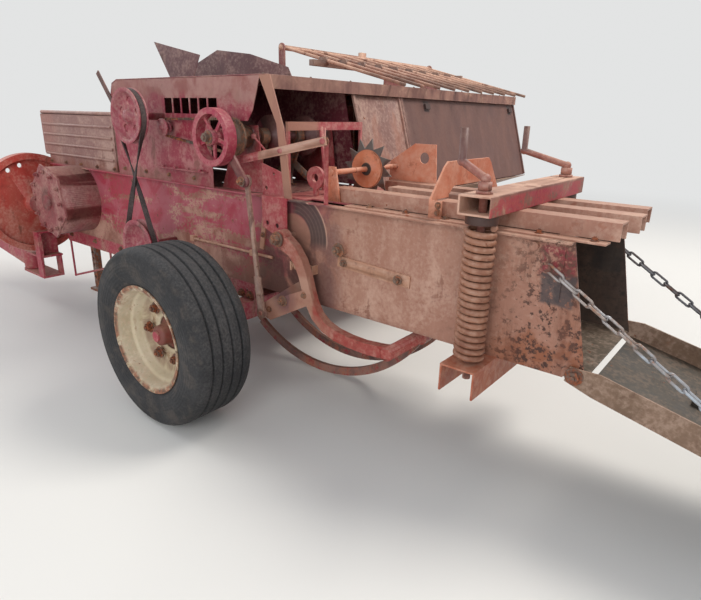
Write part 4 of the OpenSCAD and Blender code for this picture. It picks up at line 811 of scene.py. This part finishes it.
def linkage_marks(f, base):
    lever = f.y.band(0.2755, 0.2845, 0.0003) * f.z.step(deck_z + 0.09, deck_z + 0.11)
    tan_bar = (f.x + (f.cloud - 0.5) * 0.03).step(-0.125, -0.135)
    base = f.mix(lever * tan_bar, base, f.blotch(TAN, TAN_PALE))
    cross = f.z.step(1.078, 1.086) * f.x.step(-0.195, -0.2) * f.y.step(0.02, 0.06)
    base = f.mix(cross * 0.9, base, TAN)
    grease = f.ring(0, 0, shaft_z).step(0.09, 0.03) * f.cloud.step(0.3, 0.5)
    return f.mix(grease * 0.85, base, GRIME)


linkage_paint = paint("linkage_paint", (154, 54, 62), (168, 92, 92), (140, 92, 74), fade=0.35, dust=0.35,
                      seed=20.0, streak=0.35, marks=linkage_marks)
rounded("knotter_frame", "frame", linkage_paint)
# Painted shade: a thin near-black maroon sheet behind the knotters, on the chamber's right side, stands for
# the shade seen there.
back = bmesh.new()
back_outline = ((0.90, 0.846), (0.90, 1.270), (-0.10, 1.270), (-0.20, 0.846))
sides = [[back.verts.new(at(x, y, z)) for x, z in back_outline] for y in (-0.250, -0.247)]
caps = [back.faces.new(sides[0]), back.faces.new(sides[1][::-1])]
bmesh.ops.recalc_face_normals(back, faces=caps + skin(back, sides, closed=False))
back_sheet_shade = paint("back_sheet_shade", (92, 30, 44), (104, 54, 60), (70, 42, 42), fade=0.35, dust=0.2, seed=20.5)
add_piece("knotter_back_sheet", as_mesh(back, "knotter_back_sheet"), "frame", back_sheet_shade)
greasy = steel("greasy", (112, 100, 92), (64, 54, 50), rust=0.5, seed=3.0, metal=0.5, rough=0.5)
rounded("knotter_heads", "frame", greasy)


def wheel_marks(f, base):
    reach = f.ring(0, 0, shaft_z)
    outside = f.y.step(0.355, 0.362)
    base = f.mix(outside * reach.step(0.030, 0.022), base, GRIME)
    base = f.mix(f.y.step(0.34, 0.32) * f.cloud.step(0.3, 0.5) * 0.8, base, (78, 62, 58))
    crank = f.y.band(0.346, 0.3625, 0.001) * reach.step(0.04, 0.06)
    return f.mix(crank * 0.75, base, f.blotch((96, 66, 62), (128, 96, 86)))


wheel_paint = paint("wheel_paint", (152, 46, 68), (158, 80, 90), (116, 62, 60), fade=0.3, dust=0.25,
                    seed=21.0, streak=0.3, marks=wheel_marks)
wheel_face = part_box("knotter_wheel")[1].y - 0.012


def spoked_wheel(spokes=5, hub=0.028, rim=0.084):
    """The CAD knotter wheel with its drilled web opened out to spokes between hub and rim."""
    made = joined("knotter_wheel")
    web_low, web_high = wheel_face - 0.020, wheel_face - 0.012

    def from_shaft(vert):
        return math.hypot(vert.co.x - axle_x, vert.co.z - shaft_z)

    def in_web(vert):
        level = web_low - 0.0002 < vert.co.y < web_high + 0.0002
        return level and hub - 0.0005 < from_shaft(vert) < rim + 0.0005

    web = [face for face in made.faces if all(in_web(vert) for vert in face.verts)]
    bmesh.ops.delete(made, geom=web, context="FACES")
    for radius in (hub, rim):
        loops = [e for e in made.edges if e.is_boundary and abs(from_shaft(e.verts[0]) - radius) < 0.0006]
        bmesh.ops.bridge_loops(made, edges=loops)
    for i in range(spokes):
        a = math.radians(54 + 360 / spokes * i)
        along, across = Vector((math.cos(a), 0, math.sin(a))), Vector((-math.sin(a), 0, math.cos(a)))
        corners = ((-1, web_low), (1, web_low), (1, web_high), (-1, web_high))
        ends = []
        for reach, half in ((hub - 0.002, 0.0085), (hub + 0.006, 0.0068), (rim - 0.010, 0.0055),
                            (rim + 0.0015, 0.008)):
            ring = [Vector((axle_x, y, shaft_z)) + along * reach + across * half * side
                    for side, y in corners]
            ends.append([made.verts.new(place) for place in ring])
        caps = [made.faces.new(ends[0][::-1]), made.faces.new(ends[-1])]
        bmesh.ops.recalc_face_normals(made, faces=caps + skin(made, ends, closed=False))
    return as_mesh(made, "knotter_wheel_finished")


add_piece("knotter_wheel_finished", spoked_wheel(), "knotter_drive", wheel_paint,
          ("knotter_wheel",))
rounded("lift_link", "link",
        paint("link_paint", (110, 76, 70), (168, 130, 112), (92, 60, 54), rust=0.35, seed=22.0))
latch_paint = paint("latch_paint", (172, 124, 100), (194, 150, 124), (120, 74, 58), rust=0.4, seed=23.0,
                    streak=0.45)
rounded("needle_latch", "frame", latch_paint)


# Needle yoke: two cast arms with a cross bar low behind the chamber, and two curved needles. Its paint
# is red at the pivot and at the bar, and worn to tan and bare steel along the needles.
def yoke_marks(f, base):
    bend = f.ring(pivot_x, 0, pivot_z)
    needle = bend.step(0.56, 0.575) * f.y.band(-0.12, 0.12, 0.004)
    bare = f.blotch((98, 72, 68), (138, 98, 86), 0.38, 0.6)
    bare = f.mix((f.chips * 0.5 + f.drips * 0.5).step(0.49, 0.57), bare, (150, 92, 72))
    bare = f.mix(f.chips.step(0.55, 0.60), bare, (140, 48, 54))
    base = f.mix(needle, base, bare)
    middle = f.x.band(-0.52, -0.36, 0.05) * (1 - needle) * f.cloud.step(0.34, 0.54)
    base = f.mix(middle * 0.8, base, TAN)
    plate = f.y.step(0.3127, 0.3129) * f.x.step(-0.455, -0.44) * f.z.step(0.585, 0.565)
    plate = plate * f.y.step(0.3285, 0.3281)
    base = f.mix(plate * 0.85, base, f.blotch(TAN, TAN_PALE, 0.35, 0.6))
    stain = f.ring(-0.292, 0, 0.462).step(0.085, 0.02) * f.cloud.step(0.3, 0.55)
    return f.mix(stain * plate * 0.85, base, (96, 62, 70))


yoke_paint = paint("yoke_paint", (150, 60, 54), (164, 96, 84), (112, 70, 58), fade=0.4, rust=0.35,
                   seed=24.0, marks=yoke_marks)
rounded("needle_yoke", "yoke", yoke_paint, sharp=18)


# Belt and chain drive of the feeder: two pulleys with holes in their webs under a crossed belt, and a
# roller chain from the knotter shaft to its idler, of plates and rollers along the CAD chain's run.
pulley_paint = paint("pulley_paint", (144, 52, 68), (154, 96, 100), (110, 62, 60), fade=0.4, rust=0.34,
                     dust=0.25, seed=25.0, streak=0.3)
rounded("belt_pulleys", "frame", pulley_paint)


def crossed_belt(upper, lower, across, width, thick):
    """A flat belt crossed between two pulleys of (x, z, radius); each strand turns over on its way."""
    ax, az, ar = upper
    bx, bz, br = lower
    slope = math.atan2(bz - az, bx - ax)
    meet = math.acos((ar + br) / math.hypot(bx - ax, bz - az))
    rings = []

    def section(x, z, y, normal, roll):
        out, side = Vector((math.cos(normal), 0, math.sin(normal))), Vector((0, 1, 0))
        wide = side * math.cos(roll) + out * math.sin(roll)
        high = out * math.cos(roll) - side * math.sin(roll)
        middle = at(x, across + y, z)
        rings.append([made.verts.new(middle + wide * width / 2 * i + high * thick / 2 * j)
                      for i, j in ((-1, -1), (1, -1), (1, 1), (-1, 1))])

    def around(x, z, radius, start, sweep, roll):
        for i in range(33):
            a = start + sweep * i / 32
            section(x + radius * math.cos(a), z + radius * math.sin(a), 0, a + roll, roll)

    def strand(first, last, normal, start_roll, bulge):
        for i in range(1, 40):
            t = i / 40
            section(first[0] + (last[0] - first[0]) * t, first[1] + (last[1] - first[1]) * t,
                    bulge * math.sin(math.pi * t), normal, start_roll + math.pi * t)

    def touch(x, z, radius, a):
        return x + radius * math.cos(a), z + radius * math.sin(a)

    made = bmesh.new()
    turn = 2 * math.pi - 2 * meet
    around(ax, az, ar, slope + meet, turn, 0.0)
    strand(touch(ax, az, ar, slope - meet), touch(bx, bz, -br, slope - meet), slope - meet, 0.0, 0.004)
    around(bx, bz, br, slope - meet + math.pi, -turn, math.pi)
    strand(touch(bx, bz, -br, slope + meet), touch(ax, az, ar, slope + meet), slope + meet, math.pi, -0.004)
    bmesh.ops.recalc_face_normals(made, faces=skin(made, rings))
    return as_mesh(made, "crossed_belt")


worn_belt = rubber("worn_belt", (48, 38, 38), (88, 74, 72), seed=2.0)
upper_pulley, lower_pulley = (0.500, 1.120, 0.1083), (0.510, 0.560, 0.1183)
belt_mesh = crossed_belt(upper_pulley, lower_pulley, across=0.430, width=0.022, thick=0.005)
add_piece("crossed_belt", belt_mesh, "frame", worn_belt, ("drive_belt",), sharp=40)
rounded("knotter_chain", "frame", greasy, name="chain_drum_finished")


def link_tree(tree, group_in, group_out):
    run = new_node(tree, "GeometryNodeMeshToCurve", {"Mesh": (group_in, "Geometry")})
    spots = new_node(tree, "GeometryNodeCurveToPoints",
                     {"Curve": (run, "Curve"), "Length": (group_in, "Pitch")}, mode="LENGTH")
    link = new_node(tree, "GeometryNodeJoinGeometry")
    gauge = new_node(tree, "ShaderNodeCombineXYZ", {way: (group_in, "Gauge") for way in "XYZ"})
    longer = new_node(tree, "ShaderNodeMath", {0: (group_in, "Pitch"), 1: 1.25}, operation="MULTIPLY")
    size = new_node(tree, "ShaderNodeCombineXYZ",
                    {"X": (group_in, "Plate"), "Y": (group_in, "Height"), "Z": (longer, "Value")})
    plate = new_node(tree, "GeometryNodeMeshCube", {"Size": (size, "Vector")})
    for side in (-0.5, 0.5):
        shift = new_node(tree, "ShaderNodeVectorMath", {0: (gauge, "Vector"), 1: (side, 0, 0)},
                         operation="MULTIPLY")
        moved = new_node(tree, "GeometryNodeTransform",
                         {"Geometry": (plate, "Mesh"), "Translation": (shift, "Vector")})
        wire(tree, moved, "Geometry", link, "Geometry")
    wider = new_node(tree, "ShaderNodeMath", {0: (group_in, "Gauge"), 1: 1.5}, operation="MULTIPLY")
    pin = new_node(tree, "GeometryNodeMeshCylinder",
                   {"Vertices": 10, "Radius": (group_in, "Roller"), "Depth": (wider, "Value")})
    across = new_node(tree, "GeometryNodeTransform",
                      {"Geometry": (pin, "Mesh"), "Rotation": (0, math.pi / 2, 0)})
    wire(tree, across, "Geometry", link, "Geometry")
    spread = new_node(tree, "GeometryNodeInstanceOnPoints",
                      {"Points": (spots, "Points"), "Rotation": (spots, "Rotation"),
                       "Instance": (link, "Geometry")})
    end_tree(tree, group_in, group_out, spread)


chain_y = 0.292
sprockets = [(0.0, shaft_z, 0.067), (0.440, 1.076, 0.035)]  # x, z and radius to the rollers
(ax, az, ar), (bx, bz, br) = sprockets
slope = math.atan2(bz - az, bx - ax)
open_angle = math.acos((ar - br) / math.hypot(bx - ax, bz - az))
chain_run = []
for (cx, cz, radius), start, sweep in ((sprockets[0], slope + open_angle, 2 * math.pi - 2 * open_angle),
                                       (sprockets[1], slope - open_angle, 2 * open_angle)):
    for i in range(19):
        a = start + sweep * i / 18
        chain_run.append(at(cx + radius * math.cos(a), chain_y, cz + radius * math.sin(a)))
chain_edges = [(i, (i + 1) % len(chain_run)) for i in range(len(chain_run))]
chain_mesh = grow("roller_chain", chain_run, link_tree,
                  {"Pitch": 0.0127, "Gauge": 0.0078, "Plate": 0.0014, "Height": 0.0098, "Roller": 0.0042,
                   "Material": greasy}, chain_edges)
add_piece("roller_chain", chain_mesh, "frame", None, sharp=40)


# Pickup, tongue and drive shaft: the reel's tines comb the hay between sheet bands. The bands are
# polished by hay, the tongue is a square tube, and the shaft runs in a bearing on its post.
pickup_paint = paint("pickup_paint", CRIMSON, (158, 88, 82), (120, 76, 62), fade=0.45, rust=0.4, dust=0.45,
                     seed=26.0)
dress("pickup_frame", pickup_paint)
rounded("pickup_bands", "pickup",
        paint("band_paint", (150, 66, 60), (150, 116, 100), (130, 110, 98), fade=0.6, rust=0.35, dust=0.35,
              seed=27.0, streak=0.3))
rounded("pickup_reel", "reel", brown_steel, sharp=40)
rounded("gauge_wheel", "gauge", brown_steel)
dress("tongue", frame_paint, 0.003)
rounded("pto_shaft", "drive_shaft", greasy)


# Bolts and nuts: plain hexagon heads on washers, with the thread's end showing. Each one sits where
# its plate, bracket or cover is fixed; all of one body and finish are one mesh.
def bolt_tree(tree, group_in, group_out):
    head = new_node(tree, "GeometryNodeJoinGeometry")
    washer, hexagon, thread = (16, 0.86, 0.12, 0.0), (6, 0.577, 0.56, 0.12), (8, 0.30, 0.25, 0.68)
    for vertices, radius, depth, foot in (washer, hexagon, thread):
        turned = new_node(tree, "GeometryNodeMeshCylinder",
                          {"Vertices": vertices, "Radius": radius, "Depth": depth})
        raised = new_node(tree, "GeometryNodeTransform",
                          {"Geometry": (turned, "Mesh"), "Translation": (0, 0, foot + depth / 2)})
        wire(tree, raised, "Geometry", head, "Geometry")
    away = new_node(tree, "GeometryNodeInputNamedAttribute", {"Name": "out"}, data_type="FLOAT_VECTOR")
    across = new_node(tree, "GeometryNodeInputNamedAttribute", {"Name": "size"}, data_type="FLOAT")
    aim = new_node(tree, "FunctionNodeAlignRotationToVector", {"Vector": (away, "Attribute")}, axis="Z")
    scaled = new_node(tree, "ShaderNodeMath", {0: (across, "Attribute"), 1: (group_in, "Scale")},
                      operation="MULTIPLY")
    spread = new_node(tree, "GeometryNodeInstanceOnPoints",
                      {"Points": (group_in, "Geometry"), "Instance": (head, "Geometry"),
                       "Rotation": (aim, "Rotation"), "Scale": (scaled, "Value")})
    end_tree(tree, group_in, group_out, spread)


def bolt(x, y, z, out, size):
    """A bolt's place in machine metres, the way that its head faces, and its width over the flats."""
    return at(x, y, z), out, size


def row(start, stop, count, out, size):
    """A row of like bolts from start to stop."""
    first, last = at(*start), at(*stop)
    return [(first.lerp(last, i / (count - 1)), out, size) for i in range(count)]


LEFT, RIGHT, UP, FRONT = (0, 1, 0), (0, -1, 0), (0, 0, 1), (1, 0, 0)
rim_top, lip_z, hood_top, drum_ring = deck_z + 0.005, deck_z + 0.014, 1.280, 0.156
frame_bolts = []
for side, out in ((1, LEFT), (-1, RIGHT)):
    wall, flange, clamp = side * half_chamber, side * 0.227, side * 0.242
    frame_bolts.append(bolt(-1.375, wall + side * 0.012, 0.469, out, 0.030))
    frame_bolts += row((-1.36, flange, rim_top), (-0.62, flange, rim_top), 6, UP, 0.014)
    frame_bolts += row((-0.895, clamp, deck_z + 0.024), (-0.895, clamp, deck_z + 0.046), 2, out, 0.013)
    frame_bolts += row((0.20, wall, 0.430), (1.58, wall, 0.430), 6, out, 0.017)
    frame_bolts += row((-0.012, wall, 0.400), (0.040, wall, 0.400), 2, out, 0.022)
frame_bolts += [bolt(-0.456, 0.270, 1.058, LEFT, 0.018), bolt(-0.525, 0.274, 0.689, LEFT, 0.030),
                bolt(-0.776, 0.266, 0.627, LEFT, 0.020), bolt(-0.540, 0.264, 0.641, LEFT, 0.017)]
frame_bolts += row((-0.124, 0.256, 0.790), (-0.112, 0.256, 0.680), 2, LEFT, 0.014)
frame_bolts += row((1.00, half_chamber, lip_z), (1.70, half_chamber, lip_z), 5, LEFT, 0.013)
frame_bolts += row((0.30, 0.270, deck_z + 0.030), (0.86, 0.270, deck_z + 0.030), 4, LEFT, 0.013)
frame_bolts += row((0.48, -1.80, hood_top), (0.52, -0.60, hood_top), 2, UP, 0.014)
frame_bolts += row((-0.08, -1.90, hood_top), (-0.08, 0.20, hood_top), 9, UP, 0.011)
frame_bolts.append(bolt(pivot_x, 0.338, pivot_z, LEFT, 0.034))
drum_bolts = [bolt(drum_x + drum_ring * math.cos(a), 0.4575, drum_z + drum_ring * math.sin(a), LEFT, 0.016)
              for a in [math.radians(30 * i) for i in range(12)]]
yoke_bolts = [bolt(-0.284, 0.318, 0.453, LEFT, 0.026), bolt(-0.205, 0.318, 0.400, LEFT, 0.015),
              bolt(-0.405, 0.328, 0.505, LEFT, 0.015)]
drive_bolts = [bolt(-0.1246, 0.368, 0.9001, LEFT, 0.022), bolt(0, 0.412, shaft_z, LEFT, 0.030)]
fly_bolts = [bolt(1.797, 0.365, 0.373, FRONT, 0.024)]
bolt_steel = steel("bolt_steel", (122, 104, 94), (84, 66, 58), rust=0.62, seed=4.0, metal=0.5, rough=0.46)
bolt_sets = [("frame", "frame", frame_bolts, bolt_steel), ("drum", "frame", drum_bolts, drum_paint),
             ("yoke", "yoke", yoke_bolts, bolt_steel), ("crank", "knotter_drive", drive_bolts, bolt_steel),
             ("flywheel", "fly", fly_bolts, bolt_steel)]
bolt_sets += [(body, body, nuts, bolt_steel) for body, nuts in wheel_nuts.items()]
for label, body, bolts, coat in bolt_sets:
    places, faces, sizes = zip(*bolts)
    bolt_mesh = grow(label + "_bolts", places, bolt_tree, {"Scale": 1.0, "Material": coat},
                     attributes={"out": faces, "size": sizes})
    add_piece(label + "_bolts", bolt_mesh, body, None)


# Studio: a plain pale floor that runs into a backdrop of the same tone, and soft even light, so that
# the finish of the baler reads as it is.
def studio_floor(colour, backdrop):
    """A pale floor that shades into the backdrop's own tone away from the machine."""
    f = Finish("floor")
    speck = f.noise(3.0, 2)
    floor = f.finish(f.mix(speck * 0.06, colour, (225, 222, 216)), 0.92)
    away = f.ring(0, 0, 0, "z").step(3.5, 9.0)
    glow = f.node("ShaderNodeEmission", {}, {"Color": (*tone(*backdrop), 1), "Strength": 1.0})
    camera_ray = Value(f, f.tree.nodes.new("ShaderNodeLightPath").outputs["Is Camera Ray"])
    both = f.node("ShaderNodeMixShader", {}, [away * camera_ray, Value(f, f.shader.outputs[0]), glow])
    f.tree.links.new(both.socket, f.tree.nodes["Material Output"].inputs["Surface"])
    return floor


BACKDROP = (226, 227, 227)
reach = 200.0
floor_mesh = bpy.data.meshes.new("floor")
floor_mesh.from_pydata([(-reach, -reach, 0), (reach, -reach, 0), (reach, reach, 0), (-reach, reach, 0)],
                       [], [(0, 1, 2, 3)])
floor = bpy.data.objects.new("floor", floor_mesh)
bpy.context.scene.collection.objects.link(floor)
floor_mesh.materials.append(studio_floor((222, 220, 215), BACKDROP))

world = bpy.data.worlds.new("studio")
bpy.context.scene.world = world
world.use_nodes = True
tree = world.node_tree
seen = tree.nodes["Background"]
seen.inputs["Color"].default_value = (*tone(*BACKDROP), 1)
seen.inputs["Strength"].default_value = 1.0
soft = new_node(tree, "ShaderNodeBackground", {"Color": (0.88, 0.92, 1.0, 1), "Strength": 0.52})
path = new_node(tree, "ShaderNodeLightPath")
either = (path, "Is Camera Ray")
for ray in ("Is Glossy Ray", "Is Transmission Ray"):
    either = (new_node(tree, "ShaderNodeMath", {0: either, 1: (path, ray)}, operation="MAXIMUM"), "Value")
chosen = new_node(tree, "ShaderNodeMixShader",
                  {0: either, 1: (soft, "Background"), 2: (seen, "Background")})
wire(tree, chosen, "Shader", tree.nodes["World Output"], "Surface")


def lamp(name, place, aim, size, power, colour=(1, 1, 1)):
    data = bpy.data.lights.new(name, "AREA")
    data.shape, data.size, data.energy, data.color = "SQUARE", size, power, colour
    made = bpy.data.objects.new(name, data)
    bpy.context.scene.collection.objects.link(made)
    made.location = place
    made.rotation_mode = "QUATERNION"
    made.rotation_quaternion = (Vector(aim) - Vector(place)).to_track_quat("-Z", "Y")


middle = (cad_low + cad_high) / 2
lamp("key", (-3.5, -2.5, 6.5), middle, 3.0, 400, (1, 0.96, 0.90))
lamp("fill", (-3.0, 6.5, 3.0), middle, 4.0, 190, (0.95, 0.98, 1))
lamp("front", (6.0, 2.0, 4.5), middle, 4.0, 160)

bpy.context.scene.view_settings.view_transform = "Standard"
